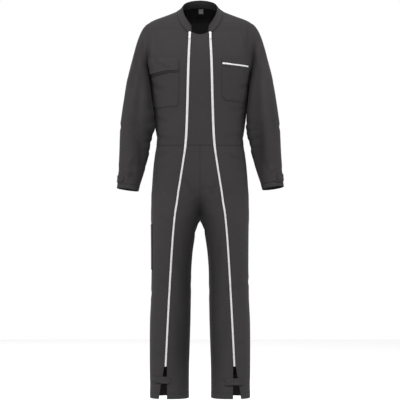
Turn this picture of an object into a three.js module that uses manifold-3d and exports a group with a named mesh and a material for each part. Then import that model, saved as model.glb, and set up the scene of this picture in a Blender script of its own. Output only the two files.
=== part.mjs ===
import * as THREE from "three";
import Module from "manifold-3d";
import { mergeVertices } from "three/addons/utils/BufferGeometryUtils.js";

// A boiler suit with two long front zips, filled out as if it were worn.
// Millimetres, +Z up. The front faces -Y and the wearer's left is +X.
// The origin lies between the two side neck points, where the shoulders carry the suit.

const wasm = await Module();
wasm.setup();

const LEFT = 1;
const RIGHT = -1;
const QUARTER = Math.PI / 2;

// Cloth and seams
const CLOTH = 2;
const SEAM = 0.3;
const HALF_SEAM = SEAM / 2;
const TRIM = 1.6;
const PROUD = 0.5;

// Heights of the main seams and edges
const NECK_SIDE = 7;
const SHOULDER_POINT = -43;
const ZIP_TOP = -84.5;
const UNDERARM = -262;
const WAIST = -548;
const CROTCH = -855;
const ZIP_END = -1445;
const HEM = -1578;

// Squareness of the sections: 2 is an ellipse, more is boxier
const BODY_SQUARE = 2.4;
const SLEEVE_SQUARE = 2.15;

// How far the back neck seam rises above the side neck points, and where the rise begins
const BACK_NECK_RISE = 14;
const BACK_NECK_RISE_FROM = -70;

// Half of the armhole's depth to the front and to the back of the side line
const ARMHOLE_FRONT = 62;
const ARMHOLE_BACK = 70;
const ARMHOLE_MIDDLE = (SHOULDER_POINT + UNDERARM) / 2;
const ARMHOLE_HALF = (SHOULDER_POINT - UNDERARM) / 2;

// Half of the white strip of a closed zip
const ZIP_HALF = 5.2;
const ZIP_THICK = 2;
const POCKET_ZIP_HALF = 4;
const NECKLINE_DIP = 12;

// Sections of one half of the body: the centre of the oval and its half width, then the depth of
// its front, its side line and its back. Above the crotch the oval is cut at the middle.
const bodySection = smoothTable(["level", "centre", "halfWidth", "front", "side", "back"], [
  [7, 0, 90, -22, 12, 74],
  [0, 0, 105, -38, 12, 82],
  [-16, 0, 146, -57, 11, 93],
  [-33, 0, 191, -69, 9, 101],
  [-43, 0, 208, -76, 8, 105],
  [-60, 0, 223, -84, 8, 110],
  [-84.5, 0, 231, -91, 7, 115],
  [-110, 0, 235, -103, 6, 119],
  [-152, 0, 236, -118, 4, 123],
  [-200, 0, 226, -130, 4, 125],
  [-262, 0, 208, -137, 10, 124],
  [-300, 0, 203, -138, 18, 122],
  [-361, 0, 198, -136, 22, 118],
  [-430, 0, 189.5, -131, 20, 113],
  [-475, 0, 183.5, -128, 14, 109],
  [-548, 0, 179, -123, 6, 107],
  [-582, 0, 184, -122, 3, 110],
  [-631, 0, 190, -121, 0, 117],
  [-705, 0, 195.6, -121, 1, 129],
  [-740, 1.5, 197, -121, 2, 134],
  [-770, 22, 177.5, -121, 3, 136],
  [-800, 52, 148.5, -119, 4, 134],
  [-830, 83, 117.5, -117, 5, 131],
  [-855, 100.2, 100.2, -114, 6, 128],
  [-869, 104.3, 95.2, -112, 6, 126],
  [-902, 109, 90, -108, 6, 122],
  [-935, 111.5, 87.2, -104, 6, 118],
  [-1000, 115.3, 83, -98, 6, 112],
  [-1066, 117.4, 81, -93, 5, 104],
  [-1164, 118.8, 81.2, -88, 4, 95],
  [-1263, 122, 82.6, -84, 4, 93],
  [-1394, 124.5, 81, -80, 5, 91],
  [-1460, 125.4, 80, -78, 5, 90],
  [-1578, 125.2, 79, -77, 5, 88],
]);

// Half width of the neckline in front, from the side neck point down to the zip
const neckline = smoothTable(["level", "x"], [
  [7, 90],
  [-5, 89.5],
  [-28, 85],
  [-45, 77.5],
  [-62, 66],
  [-76, 54],
  [-84.5, 46.4],
]);

// Distance of a zip's middle line from the middle of the body
const zipLine = smoothTable(["level", "x"], [
  [-84.5, 41],
  [-222, 47],
  [-367, 50.7],
  [-488, 54.9],
  [-548, 59.3],
  [-609, 67.8],
  [-706, 83.2],
  [-771, 93.9],
  [-835, 102.5],
  [-932, 111.2],
  [-1094, 121.7],
  [-1256, 130.5],
  [-1445, 140],
]);

// The slit below a zip: its inner edge hangs straight and its outer edge draws away
const slitEdges = smoothTable(["level", "inner", "outer"], [
  [-1445, 134.6, 145.4],
  [-1480, 134.6, 151],
  [-1515, 134.5, 158],
  [-1578, 134, 167.5],
]);

// Sections of a sleeve below its cap. Tilt lifts the outer side of a section over its inner side.
const sleeveSection = smoothTable(["level", "centre", "halfWidth", "front", "side", "back", "tilt"], [
  [-257.5, 247.3, 37.7, -72, -2, 82, 0.86],
  [-300, 250, 48, -86, -22, 68, 0.45],
  [-361, 251.8, 57.4, -97, -36, 52, 0.22],
  [-430, 254.6, 65.6, -97, -34, 43, 0.14],
  [-475, 256.8, 69, -93, -27, 43, 0.12],
  [-505, 260.5, 67, -90, -24, 42, 0.14],
  [-533, 265.8, 63.3, -88, -23, 41, 0.16],
  [-570, 269.8, 60.6, -86, -23, 38, 0.16],
  [-607, 275.5, 56.8, -83, -23, 35, 0.16],
  [-656, 284.3, 51.2, -78, -24, 29, 0.15],
  [-705, 293.9, 45.2, -73, -24, 24, 0.14],
  [-724, 297.5, 43.8, -72, -24, 22, 0.14],
]);
const CAP_END = -257.5;
const CUFF = -724;

// The two arms hang a little unalike: how far each cuff drops, spreads and faces forward
const ARM_HANG = {
  [LEFT]: { drop: -4, spread: 1, pitch: -0.1 },
  [RIGHT]: { drop: 2.5, spread: -2, pitch: -0.05 },
};
const ARM_HANG_FROM = -430;

// Levels of the rows of points
const SHOULDER_LEVELS = [NECK_SIDE, 0, -11, -22, -33];
const TORSO_LEVELS = [-300, -345, -390, -435, -478, -514];
const LOWER_LEVELS = [
  -592, -636, -680, -718, -750, -778, -802, -822, -840, CROTCH, -872, -895, -930, -975, -1030,
  -1085, -1130, -1180, -1240, -1300, -1370,
];
const SLIT_LEVELS = [-1485, -1530];
const SLEEVE_LEVELS = [
  CAP_END, -300, -345, -390, -430, -462, -492, -520, -552, -595, -640, -683, CUFF,
];
const CAP_STEPS = 4;
const NECK_STEPS = 3;
const ARM_STEPS = 7;

// Columns of points across each panel
const BIB_COLUMNS = 4;
const CHEST_COLUMNS = 8;
const INNER_COLUMNS = 4;
const OUTER_COLUMNS = 5;
const BACK_COLUMNS = 7;

// The largest soft folds of the body: where each lies, its half length along the turn and half
// height, its slope and how deep it is
const BODY_FOLDS = namedRows(["level", "turn", "length", "height", "slope", "depth"], [
  [-505, 1.35, 0.5, 16, 18, 3],
  [-528, 1.75, 0.6, 14, -10, 3],
  [-800, 0.2, 0.5, 20, 60, 3.5],
  [-835, 0.75, 0.6, 16, 34, 2.5],
  [-862, 2.7, 0.7, 18, -40, 4],
  [-905, 3.3, 0.6, 16, -34, 3],
  [-1120, 2.9, 0.7, 18, -20, 4],
  [-1165, 3.4, 0.7, 16, 14, 3.5],
  [-1140, 0.3, 0.6, 20, 18, 2.5],
  [-1500, 2.2, 0.6, 16, 16, 3],
]);

// The largest soft folds of a sleeve, in the same columns, the turn counted from its outer side
const SLEEVE_FOLDS = namedRows(["level", "turn", "length", "height", "slope", "depth"], [
  [-455, 2.6, 0.8, 13, 12, 4.5],
  [-488, 2.9, 0.9, 12, -8, 5],
  [-520, 2.7, 0.8, 12, -16, 4],
  [-575, 2.4, 0.7, 14, -22, 3],
  [-470, 4.4, 0.7, 15, 14, 3.5],
  [-640, 1.2, 0.8, 15, 16, 2.5],
]);

// Top edge of the stand collar's front half, against the level of the seam below it
const collarFront = smoothTable(["level", "x", "y", "z"], [
  [-84.5, 43, -84.5, -50],
  [-76, 52, -75, -36],
  [-62, 60, -61, -22],
  [-45, 65.5, -45, -10],
  [-28, 69, -25, 4],
  [-5, 69.5, -6, 16],
  [7, 69.5, 14, 26.5],
]);

// Top edge of its back half, against the turn round the neck, in parts from side to back
const collarBack = smoothTable(["part", "x", "y", "z"], [
  [0, 69.5, 14, 26.5],
  [0.3, 62, 39, 38],
  [0.55, 48, 59, 47.5],
  [0.8, 25, 70, 54],
  [1, 0, 73.5, 56.5],
]);

// The collar's ends reach over the tops of the zips
const COLLAR_END = { x: 34.6, edgeX: 34.8, edgeY: -88.5, edgeZ: -63 };
const COLLAR_ROWS = 3;
const COLLAR_LIFT = 0.5;

const CLOTH_COLOUR = 0x403e3f;
const cloth = { color: CLOTH_COLOUR, roughness: 0.9, metalness: 0 };
const whitePlastic = { color: 0xf4f4f2, roughness: 0.45, metalness: 0 };
const labelCloth = { color: 0x17171a, roughness: 0.8, metalness: 0 };

// Names the columns of a short table
function namedRows(names, rows) {
  return rows.map((row) => Object.fromEntries(names.map((name, k) => [name, row[k]])));
}

// A short table read as smooth courses over its first column, with no overshoot between rows
function smoothTable(names, rows) {
  const sorted = [...rows].sort((a, b) => a[0] - b[0]);
  const at = sorted.map((row) => row[0]);
  const courses = names.map((name, column) => {
    const values = sorted.map((row) => row[column]);
    const slopes = values.slice(1).map((value, k) => (value - values[k]) / (at[k + 1] - at[k]));
    const tangents = values.map((value, k) => {
      const before = slopes[Math.max(k - 1, 0)];
      const after = slopes[Math.min(k, slopes.length - 1)];
      return before * after <= 0 ? 0 : (2 * before * after) / (before + after);
    });
    return { name, values, tangents };
  });
  return (place) => {
    const where = THREE.MathUtils.clamp(place, at[0], at[at.length - 1]);
    let k = 0;
    while (k < at.length - 2 && where > at[k + 1]) k += 1;
    const step = at[k + 1] - at[k];
    const q = (where - at[k]) / step;
    const read = ({ name, values, tangents }) => [name, hermite(q, values[k], step * tangents[k],
      values[k + 1], step * tangents[k + 1])];
    return Object.fromEntries(courses.map(read));
  };
}

function hermite(q, from, fromTangent, to, toTangent) {
  const q2 = q * q;
  const q3 = q2 * q;
  return (2 * q3 - 3 * q2 + 1) * from + (q3 - 2 * q2 + q) * fromTangent
    + (3 * q2 - 2 * q3) * to + (q3 - q2) * toTangent;
}

function smoothStep(from, to, value) {
  return THREE.MathUtils.smoothstep(value, from, to);
}

// Depth of the soft folds at a place: a trough along a slanted line that fades at its ends
function foldDepth(folds, level, turn) {
  return folds.reduce((sum, fold) => {
    const along = (turn - fold.turn) / fold.length;
    const across = (level - fold.level - fold.slope * along) / fold.height;
    return sum - fold.depth * Math.exp(-along * along - across * across);
  }, 0);
}

// A point of an oval on its own centre: turn 0 is its front and a quarter turn is its side
function oval(turn, square) {
  const sine = Math.sin(turn);
  const cosine = Math.cos(turn);
  const reach = (Math.abs(sine) ** square + Math.abs(cosine) ** square) ** (-1 / square);
  return { across: sine * reach, forward: cosine * reach };
}

// The turn at which an oval of half width 1 has this distance across, on its front half
function turnOf(across, square) {
  const u = THREE.MathUtils.clamp(across, -1, 1);
  return Math.atan2(u, (1 - Math.abs(u) ** square) ** (1 / square));
}

// Outer face of the body, from the middle of the front (turn 0) round the side to the back
function body(side, level, turn) {
  const section = bodySection(level);
  const { across, forward } = oval(turn, BODY_SQUARE);
  const depth = forward > 0 ? section.side - section.front : section.back - section.side;
  const backness = turn > QUARTER ? Math.sin(turn - QUARTER) ** 2 : 0;
  const rise = BACK_NECK_RISE * backness * smoothStep(BACK_NECK_RISE_FROM, NECK_SIDE, level);
  const swell = foldDepth(BODY_FOLDS, level, turn);
  const x = section.centre + (section.halfWidth + swell) * across;
  const y = section.side - (depth + swell) * forward;
  return new THREE.Vector3(side * x, y, level + rise);
}

// The turn at which the front of the body lies at this distance from the middle
function turnAt(level, x) {
  const section = bodySection(level);
  return turnOf((x - section.centre) / section.halfWidth, BODY_SQUARE);
}

// Level of a point of the armhole, counted from the shoulder point round its front
function armholeLevel(round) {
  return ARMHOLE_MIDDLE + ARMHOLE_HALF * Math.cos(round);
}

// The body's turn at the armhole's edge, in front or behind
function armholeTurn(level, behind) {
  const section = bodySection(level);
  const height = THREE.MathUtils.clamp((level - ARMHOLE_MIDDLE) / ARMHOLE_HALF, -1, 1);
  const half = behind ? ARMHOLE_BACK : ARMHOLE_FRONT;
  const depth = behind ? section.back - section.side : section.side - section.front;
  const forward = (half * Math.sqrt(1 - height * height)) / depth;
  const turn = Math.atan2((1 - forward ** BODY_SQUARE) ** (1 / BODY_SQUARE), forward);
  return behind ? Math.PI - turn : turn;
}

function armholePoint(side, round) {
  const level = armholeLevel(round);
  return body(side, level, armholeTurn(level, round > Math.PI));
}

// A point of the sleeve's tube, round from its outer side over its front
function sleeveTube(side, level, round) {
  const section = sleeveSection(level);
  const { across, forward } = oval(QUARTER - round, SLEEVE_SQUARE);
  const depth = forward > 0 ? section.side - section.front : section.back - section.side;
  const hang = ARM_HANG[side];
  const along = smoothStep(-ARM_HANG_FROM, -CUFF, -level);
  const swell = foldDepth(SLEEVE_FOLDS, level, round);
  const outward = (section.halfWidth + swell) * across;
  const back = -(depth + swell) * forward;
  const z = level + section.tilt * outward + along * (hang.pitch * back - hang.drop);
  return new THREE.Vector3(side * (section.centre + outward + along * hang.spread),
    section.side + back, z);
}

// How far the cap's surface reaches out at the armhole and at its end, and how it leaves the
// armhole: nearly straight down at the underarm and mostly outward at the top
const CAP = { reachLow: 30, reachTop: 135, endLow: 30, endTop: 150, outLow: 0.3, outTop: 0.93,
  downLow: -1, downTop: -0.38 };

function capReach(top) {
  return THREE.MathUtils.lerp(CAP.reachLow, CAP.reachTop, top);
}

// Nearness to the top of the armhole, from 0 at the underarm to 1 at the shoulder point
function topness(round) {
  return (1 + Math.cos(round)) / 2;
}

// Outer face of a sleeve: place runs from 0 at the armhole to 1 at the cap's end, then to 2 at the cuff
function sleeve(side, place, round) {
  if (place >= 1) {
    return sleeveTube(side, THREE.MathUtils.lerp(CAP_END, CUFF, place - 1), round);
  }
  const { lerp } = THREE.MathUtils;
  const top = topness(round);
  const from = armholePoint(side, round);
  const to = sleeveTube(side, CAP_END, round);
  const outward = side * lerp(CAP.outLow, CAP.outTop, top);
  const leaving = new THREE.Vector3(outward, 0, lerp(CAP.downLow, CAP.downTop, top))
    .multiplyScalar(capReach(top));
  const probe = 10;
  const arriving = sleeveTube(side, CAP_END - probe, round).sub(to)
    .multiplyScalar(lerp(CAP.endLow, CAP.endTop, top) / probe);
  return new THREE.Vector3(
    hermite(place, from.x, leaving.x, to.x, arriving.x),
    hermite(place, from.y, leaving.y, to.y, arriving.y),
    hermite(place, from.z, leaving.z, to.z, arriving.z),
  );
}

// A point of a face with its outward normal, from the face's own slopes
function faced(face, side, u, v, du, dv) {
  const alongU = face(side, u + du, v).sub(face(side, u - du, v));
  const alongV = face(side, u, v + dv).sub(face(side, u, v - dv));
  const normal = alongV.cross(alongU).multiplyScalar(side).normalize();
  return { point: face(side, u, v), normal };
}

function bodyAt(side, level, turn) {
  const inside = THREE.MathUtils.clamp(level, HEM + 1, NECK_SIDE - 1);
  const { normal } = faced(body, side, inside, turn, 1, 0.01);
  return { point: body(side, level, turn), normal };
}

function sleeveAt(side, place, round) {
  const step = 0.002;
  const inside = THREE.MathUtils.clamp(place, step, 2 - step);
  const { normal } = faced(sleeve, side, inside, round, step, 0.01);
  return { point: sleeve(side, place, round), normal };
}

// Joins a grid of points with normals into one closed wall, from lift to lift + thick off the face
function wall(grid, { thick = CLOTH, lift = -CLOTH, closed = false } = {}) {
  const rows = grid.length;
  const columns = grid[0].length;
  const positions = [];
  const known = new Map();
  const index = (vector) => {
    const key = [vector.x, vector.y, vector.z].map((value) => Math.round(value * 1e3)).join();
    if (!known.has(key)) {
      known.set(key, positions.length / 3);
      positions.push(vector.x, vector.y, vector.z);
    }
    return known.get(key);
  };
  const face = (height) => grid.map((row) => row.map(({ point, normal }) =>
    index(point.clone().addScaledVector(normal, height))));
  const outer = face(lift + thick);
  const inner = face(lift);
  const triangles = [];
  const triangle = (a, b, c) => {
    if (a !== b && b !== c && c !== a) triangles.push(a, b, c);
  };
  const quad = (a, b, c, d) => {
    triangle(a, b, c);
    triangle(a, c, d);
  };
  const lastColumn = closed ? columns : columns - 1;
  for (let i = 0; i < rows - 1; i += 1) {
    for (let j = 0; j < lastColumn; j += 1) {
      const k = (j + 1) % columns;
      quad(outer[i][j], outer[i + 1][j], outer[i + 1][k], outer[i][k]);
      quad(inner[i][k], inner[i + 1][k], inner[i + 1][j], inner[i][j]);
    }
    if (!closed) {
      quad(outer[i][0], inner[i][0], inner[i + 1][0], outer[i + 1][0]);
      quad(outer[i + 1][columns - 1], inner[i + 1][columns - 1], inner[i][columns - 1],
        outer[i][columns - 1]);
    }
  }
  for (let j = 0; j < lastColumn; j += 1) {
    const k = (j + 1) % columns;
    quad(outer[0][j], outer[0][k], inner[0][k], inner[0][j]);
    quad(outer[rows - 1][k], outer[rows - 1][j], inner[rows - 1][j], inner[rows - 1][k]);
  }
  const geometry = new THREE.BufferGeometry();
  geometry.setAttribute("position", new THREE.Float32BufferAttribute(positions, 3));
  geometry.setIndex(facingOut(triangles, positions));
  return geometry;
}

// Turns the triangles over when they enclose their body from the inside
function facingOut(triangles, positions) {
  let volume = 0;
  const corner = (k) => new THREE.Vector3().fromArray(positions, 3 * k);
  for (let k = 0; k < triangles.length; k += 3) {
    const [a, b, c] = [0, 1, 2].map((m) => corner(triangles[k + m]));
    volume += a.dot(b.cross(c));
  }
  return volume > 0 ? triangles : [...triangles].reverse();
}

function spread(from, to, count) {
  return Array.from({ length: count + 1 }, (_, k) => from + ((to - from) * k) / count);
}

// Steps round the armhole, from the shoulder point to the underarm, with one at the zip's top level
function armholeSteps() {
  const neck = Math.acos((ZIP_TOP - ARMHOLE_MIDDLE) / ARMHOLE_HALF);
  return [...spread(0, neck, NECK_STEPS), ...spread(neck, Math.PI, ARM_STEPS).slice(1)];
}

const ARMHOLE_LEVELS = armholeSteps().map(armholeLevel);
const UPPER_LEVELS = [...SHOULDER_LEVELS, ...ARMHOLE_LEVELS, ...TORSO_LEVELS, WAIST + HALF_SEAM];
const LEG_LEVELS = [WAIST - HALF_SEAM, ...LOWER_LEVELS, ZIP_END, ...SLIT_LEVELS, HEM];

// Turn by which a piece stops short of a seam that runs down the body or a sleeve
const SEAM_TURN = 0.002;

// Rows of points over a part of the body, between two turns at each level
function bodyGrid(side, levels, from, to, columns) {
  return levels.map((level) => {
    const start = from(level);
    const end = to(level);
    return spread(start, end, columns).map((turn) => bodyAt(side, level, turn));
  });
}

function sideTurn(level, behind) {
  if (level > SHOULDER_POINT || level < UNDERARM) {
    return QUARTER + (behind ? SEAM_TURN : -SEAM_TURN);
  }
  return armholeTurn(level, behind) + (behind ? SEAM_TURN : -SEAM_TURN);
}

// The front piece between the two zips, from its dipping neckline to the waist
function bibGeometry() {
  const levels = UPPER_LEVELS.filter((level) => level <= ZIP_TOP + 0.01);
  const fade = 10 * NECKLINE_DIP;
  const grid = levels.map((level) => {
    const half = turnAt(level, zipLine(level).x - ZIP_HALF - SEAM);
    return spread(-half, half, BIB_COLUMNS).map((turn) => {
      const dip = NECKLINE_DIP * (1 - (turn / half) ** 2);
      const lowered = level - dip * smoothStep(ZIP_TOP - fade, ZIP_TOP, level);
      return bodyAt(LEFT, lowered, turn);
    });
  });
  return wall(grid);
}

// A front piece of the chest, outside a zip, from the neckline and shoulder to the waist
function chestGeometry(side) {
  const from = (level) => {
    if (level >= NECK_SIDE) return sideTurn(level, false);
    const x = level > ZIP_TOP ? neckline(level).x : zipLine(level).x + ZIP_HALF + SEAM;
    return turnAt(level, x);
  };
  return wall(bodyGrid(side, UPPER_LEVELS, from, (level) => sideTurn(level, false), CHEST_COLUMNS));
}

// The whole upper back in one piece
function upperBackGeometry() {
  const half = (side) => bodyGrid(side, UPPER_LEVELS, (level) => sideTurn(level, true),
    () => Math.PI, BACK_COLUMNS);
  const right = half(RIGHT);
  const left = half(LEFT);
  return wall(right.map((row, k) => [...row, ...left[k].slice(0, -1).reverse()]));
}

// The turn of the middle seam, or of the inseam below the crotch, on the front half
function middleTurn(level) {
  const turn = turnAt(level, HALF_SEAM);
  return Math.max(turn, -QUARTER + SEAM_TURN);
}

// The front leg piece between the middle seam and a zip
function innerLegGeometry(side) {
  const to = (level) => {
    const x = level < ZIP_END ? slitEdges(level).inner : zipLine(level).x - ZIP_HALF - SEAM;
    return turnAt(level, x);
  };
  return wall(bodyGrid(side, LEG_LEVELS, middleTurn, to, INNER_COLUMNS));
}

// The front leg piece between a zip and the side seam
function outerLegGeometry(side) {
  const from = (level) => {
    const x = level < ZIP_END ? slitEdges(level).outer : zipLine(level).x + ZIP_HALF + SEAM;
    return turnAt(level, x);
  };
  return wall(bodyGrid(side, LEG_LEVELS, from, () => QUARTER - SEAM_TURN, OUTER_COLUMNS));
}

function backLegGeometry(side) {
  return wall(bodyGrid(side, LEG_LEVELS, () => QUARTER + SEAM_TURN,
    (level) => Math.PI - middleTurn(level), BACK_COLUMNS));
}

function sleeveGeometry(side) {
  const front = armholeSteps();
  const back = front.slice(1, -1).map((round) => 2 * Math.PI - round).reverse();
  const rounds = [...front, ...back];
  const seam = (round) => SEAM / capReach(topness(round));
  const cap = spread(0, 1, CAP_STEPS).slice(0, -1).map((place) =>
    rounds.map((round) => sleeveAt(side, Math.max(place, seam(round)), round)));
  const tube = SLEEVE_LEVELS.map((level) => 1 + (level - CAP_END) / (CUFF - CAP_END))
    .map((place) => rounds.map((round) => sleeveAt(side, place, round)));
  return wall([...cap, ...tube], { closed: true });
}

// The stand collar, from one front end round the back of the neck to the other
function collarGeometry() {
  const edgePoint = (side, { x, y, z }) => new THREE.Vector3(side * x, y, z);
  const half = (side) => [
    { seam: body(side, ZIP_TOP, turnAt(ZIP_TOP, COLLAR_END.x)),
      edge: new THREE.Vector3(side * COLLAR_END.edgeX, COLLAR_END.edgeY, COLLAR_END.edgeZ) },
    ...UPPER_LEVELS.filter((level) => level >= ZIP_TOP - 0.01).reverse().map((level) => ({
      seam: body(side, level, turnAt(level, neckline(level).x)),
      edge: edgePoint(side, collarFront(level)),
    })),
    ...spread(0, 1, BACK_COLUMNS).slice(1).map((part) => ({
      seam: body(side, NECK_SIDE, QUARTER * (1 + part)),
      edge: edgePoint(side, collarBack(part)),
    })),
  ];
  const stations = [...half(RIGHT), ...half(LEFT).slice(0, -1).reverse()];
  const bulge = 1.5;
  const columns = stations.map(({ seam, edge }, k) => {
    const before = stations[Math.max(k - 1, 0)];
    const after = stations[Math.min(k + 1, stations.length - 1)];
    const along = after.seam.clone().add(after.edge).sub(before.seam).sub(before.edge);
    const up = edge.clone().sub(seam);
    const normal = along.cross(up).normalize();
    const lifted = seam.clone().addScaledVector(up.clone().normalize(), COLLAR_LIFT);
    return spread(0, 1, COLLAR_ROWS).map((rise) => ({
      point: lifted.clone().lerp(edge, rise)
        .addScaledVector(normal, bulge * Math.sin(Math.PI * rise)),
      normal,
    }));
  });
  return wall(columns);
}

// A long zip: one raised strip between two pieces of the front
function zipGeometry(side) {
  const levels = [...UPPER_LEVELS, ...LEG_LEVELS]
    .filter((level) => level <= ZIP_TOP + 0.01 && level >= ZIP_END);
  const grid = levels.map((level) => {
    const { x } = zipLine(level);
    return [-ZIP_HALF, ZIP_HALF].map((across) => bodyAt(side, level, turnAt(level, x + across)));
  });
  return wall(grid, { thick: ZIP_THICK, lift: PROUD - ZIP_THICK });
}

// How far a rounded corner draws an edge in, at this distance from the end
function cornerInset(distance, radius) {
  if (distance >= radius) return 0;
  return radius - Math.sqrt(radius * radius - (radius - distance) ** 2);
}

// A piece of cloth sewn on the front: rows of level against the reach from an inner to an outer x
function patchGeometry(side, rows, columns, options) {
  const grid = rows.map(({ level, inner, outer, slope = 0 }) => {
    const start = turnAt(level, inner);
    const end = turnAt(level + slope * (outer - inner), outer);
    return spread(0, 1, columns).map((part) => {
      const lowered = level + slope * (outer - inner) * part;
      return bodyAt(side, lowered, THREE.MathUtils.lerp(start, end, part));
    });
  });
  return wall(grid, options);
}

// Pieces sewn on a face clear the corners of its rounding by a little more than a seam
const ROUNDING = 0.5;
const POCKET_LIFT = SEAM + ROUNDING;
const FLAP_LIFT = POCKET_LIFT + TRIM + SEAM + ROUNDING;

// The patch pocket on the wearer's right chest, under a flap
const RIGHT_POCKET = { top: -206, bottom: -389, inner: 85.6, outerTop: 199, outerBottom: 186,
  slope: -0.07, radius: 12 };
// The zipped pocket on the wearer's left chest
const LEFT_POCKET = { top: -197, bottom: -366, inner: 88.5, outerTop: 199, outerBottom: 186,
  slope: -0.07, radius: 14 };
const POCKET_COLUMNS = 8;
const POCKET_ROWS = 6;

function chestPocketGeometry(side, pocket) {
  const depth = pocket.top - pocket.bottom;
  const distances = [...spread(depth, pocket.radius, POCKET_ROWS), pocket.radius * 0.45,
    pocket.radius * 0.12, 0];
  const rows = distances.map((distance) => {
    const inset = cornerInset(distance, pocket.radius);
    const outer = THREE.MathUtils.lerp(pocket.outerBottom, pocket.outerTop, distance / depth);
    return { level: pocket.bottom + distance, inner: pocket.inner + inset, outer: outer - inset,
      slope: pocket.slope * (1 - distance / depth) };
  });
  return patchGeometry(side, rows, POCKET_COLUMNS, { thick: TRIM, lift: POCKET_LIFT });
}

// The flap hangs level from its inner edge, then slopes down toward the armhole
const FLAP = { top: -190, bottom: -245, inner: 84.6, bend: 130, outer: 199, outerDrop: 12 };
const FLAP_STEPS = 3;
const FLAP_INNER_COLUMNS = 3;
const FLAP_OUTER_COLUMNS = 6;

function flapGeometry() {
  const turns = [FLAP.inner, FLAP.bend, FLAP.outer].map((x) => turnAt(FLAP.bottom, x));
  const columns = [
    ...spread(turns[0], turns[1], FLAP_INNER_COLUMNS).slice(0, -1),
    ...spread(turns[1], turns[2], FLAP_OUTER_COLUMNS),
  ];
  const grid = columns.map((turn) => {
    const outward = Math.max(0, (turn - turns[1]) / (turns[2] - turns[1]));
    const bottom = FLAP.bottom - FLAP.outerDrop * outward;
    return spread(FLAP.top, bottom, FLAP_STEPS).map((level) => bodyAt(RIGHT, level, turn));
  });
  return wall(grid, { thick: TRIM, lift: FLAP_LIFT });
}

// The white zip across the left chest pocket
const POCKET_ZIP = { inner: 90, outer: 193, level: -217, slope: -0.085 };
const POCKET_ZIP_COLUMNS = 8;

function pocketZipGeometry() {
  const { inner, outer, level, slope } = POCKET_ZIP;
  const rows = [POCKET_ZIP_HALF, -POCKET_ZIP_HALF].map((up) =>
    ({ level: level + up, inner, outer, slope }));
  return patchGeometry(LEFT, rows, POCKET_ZIP_COLUMNS, { thick: TRIM, lift: FLAP_LIFT });
}

// The long narrow tool pocket on the wearer's right outer leg, across the side seam
const TOOL_POCKET = { top: -869, bottom: -1054, frontTurn: 1.12, backTurn: 2.05 };
const TOOL_POCKET_ROWS = 5;
const TOOL_POCKET_COLUMNS = 6;

function toolPocketGeometry() {
  const { top, bottom, frontTurn, backTurn } = TOOL_POCKET;
  const grid = spread(top, bottom, TOOL_POCKET_ROWS).map((level) =>
    spread(frontTurn, backTurn, TOOL_POCKET_COLUMNS).map((turn) => bodyAt(RIGHT, level, turn)));
  return wall(grid, { thick: CLOTH, lift: POCKET_LIFT });
}

// The straps that close the slits at the hems, sewn outside and rounded at the free inner end
const LEG_TABS = {
  [LEFT]: { level: -1508, inner: 97, outer: 174 },
  [RIGHT]: { level: -1501, inner: 119, outer: 176 },
};
const TAB_HALF = 14;
const TAB_STEPS = 7;
const TAB_ACROSS = [1, 0.35, -0.35, -1];

// Places along a strap and its half width there, closer together in the rounded free end
function strapOutline(length, half) {
  const rounded = [0, 0.1, 0.35, 0.7, 1].map((part) => part * half);
  const places = [...rounded, ...spread(half, length, TAB_STEPS).slice(1)];
  return places.map((distance) => {
    const reach = Math.max(0, half - distance);
    return { distance, width: Math.max(Math.sqrt(half * half - reach * reach), half * 0.3) };
  });
}

function legTabGeometry(side) {
  const { level, inner, outer } = LEG_TABS[side];
  const grid = strapOutline(outer - inner, TAB_HALF).map(({ distance, width }) =>
    TAB_ACROSS.map((across) => {
      const height = level + across * width;
      return bodyAt(side, height, turnAt(height, inner + distance));
    }));
  return wall(grid, { thick: TRIM, lift: POCKET_LIFT });
}

// The straps that narrow the cuffs, over the outer side of the wrist
const CUFF_TAB = { level: -687, front: 1.12, back: -1.15, half: 13.5 };
const WRIST_RADIUS = 47;
const CUFF_TAB_LIFT = POCKET_LIFT + 0.3;

function cuffTabGeometry(side) {
  const length = (CUFF_TAB.front - CUFF_TAB.back) * WRIST_RADIUS;
  const grid = strapOutline(length, CUFF_TAB.half).map(({ distance, width }) =>
    TAB_ACROSS.map((across) => {
      const place = 1 + (CUFF_TAB.level + across * width - CAP_END) / (CUFF - CAP_END);
      return sleeveAt(side, place, CUFF_TAB.front - distance / WRIST_RADIUS);
    }));
  return wall(grid, { thick: CLOTH, lift: CUFF_TAB_LIFT });
}

// The plain neck label, inside the upper back just under the collar
const LABEL = { top: 3, bottom: -27, half: 21, thick: 0.8, columns: 4 };

function labelGeometry() {
  const grid = [LABEL.top, LABEL.bottom].map((level) =>
    spread(-LABEL.half, LABEL.half, LABEL.columns)
      .map((x) => bodyAt(LEFT, level, Math.PI - turnAt(level, x))));
  return wall(grid, { thick: LABEL.thick, lift: -CLOTH - POCKET_LIFT - LABEL.thick });
}

// A zip's slider and pull tab, in a frame of their own: x across, y along and z off the zip
const SLIDER = { width: 12, length: 11, thick: 2.2 };
const BAIL = { width: 2.4, opening: 5.6, height: 2.5, bar: 1 };
const PULL = { width: 7, length: 27, thick: 1.2, eye: 6, eyeWidth: 3.4 };
const HINGE_HEIGHT = SLIDER.thick + BAIL.height / 2;
const SLIDER_CLEARANCE = 0.8;
const FROM_ZIP_END = 2;
const ZIP_PROBE = 5;

// A closed three.js geometry as a solid that can be joined
function solid(geometry) {
  const bare = geometry.clone();
  bare.deleteAttribute("normal");
  bare.deleteAttribute("uv");
  const merged = mergeVertices(bare, 1e-4);
  return new wasm.Manifold(new wasm.Mesh({
    numProp: 3,
    vertProperties: Float32Array.from(merged.attributes.position.array),
    triVerts: Uint32Array.from(merged.index.array),
  }));
}

function geometryOf(manifold) {
  const mesh = manifold.getMesh();
  const geometry = new THREE.BufferGeometry();
  geometry.setAttribute("position", new THREE.Float32BufferAttribute(mesh.vertProperties, 3));
  geometry.setIndex([...mesh.triVerts]);
  return geometry;
}

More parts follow.
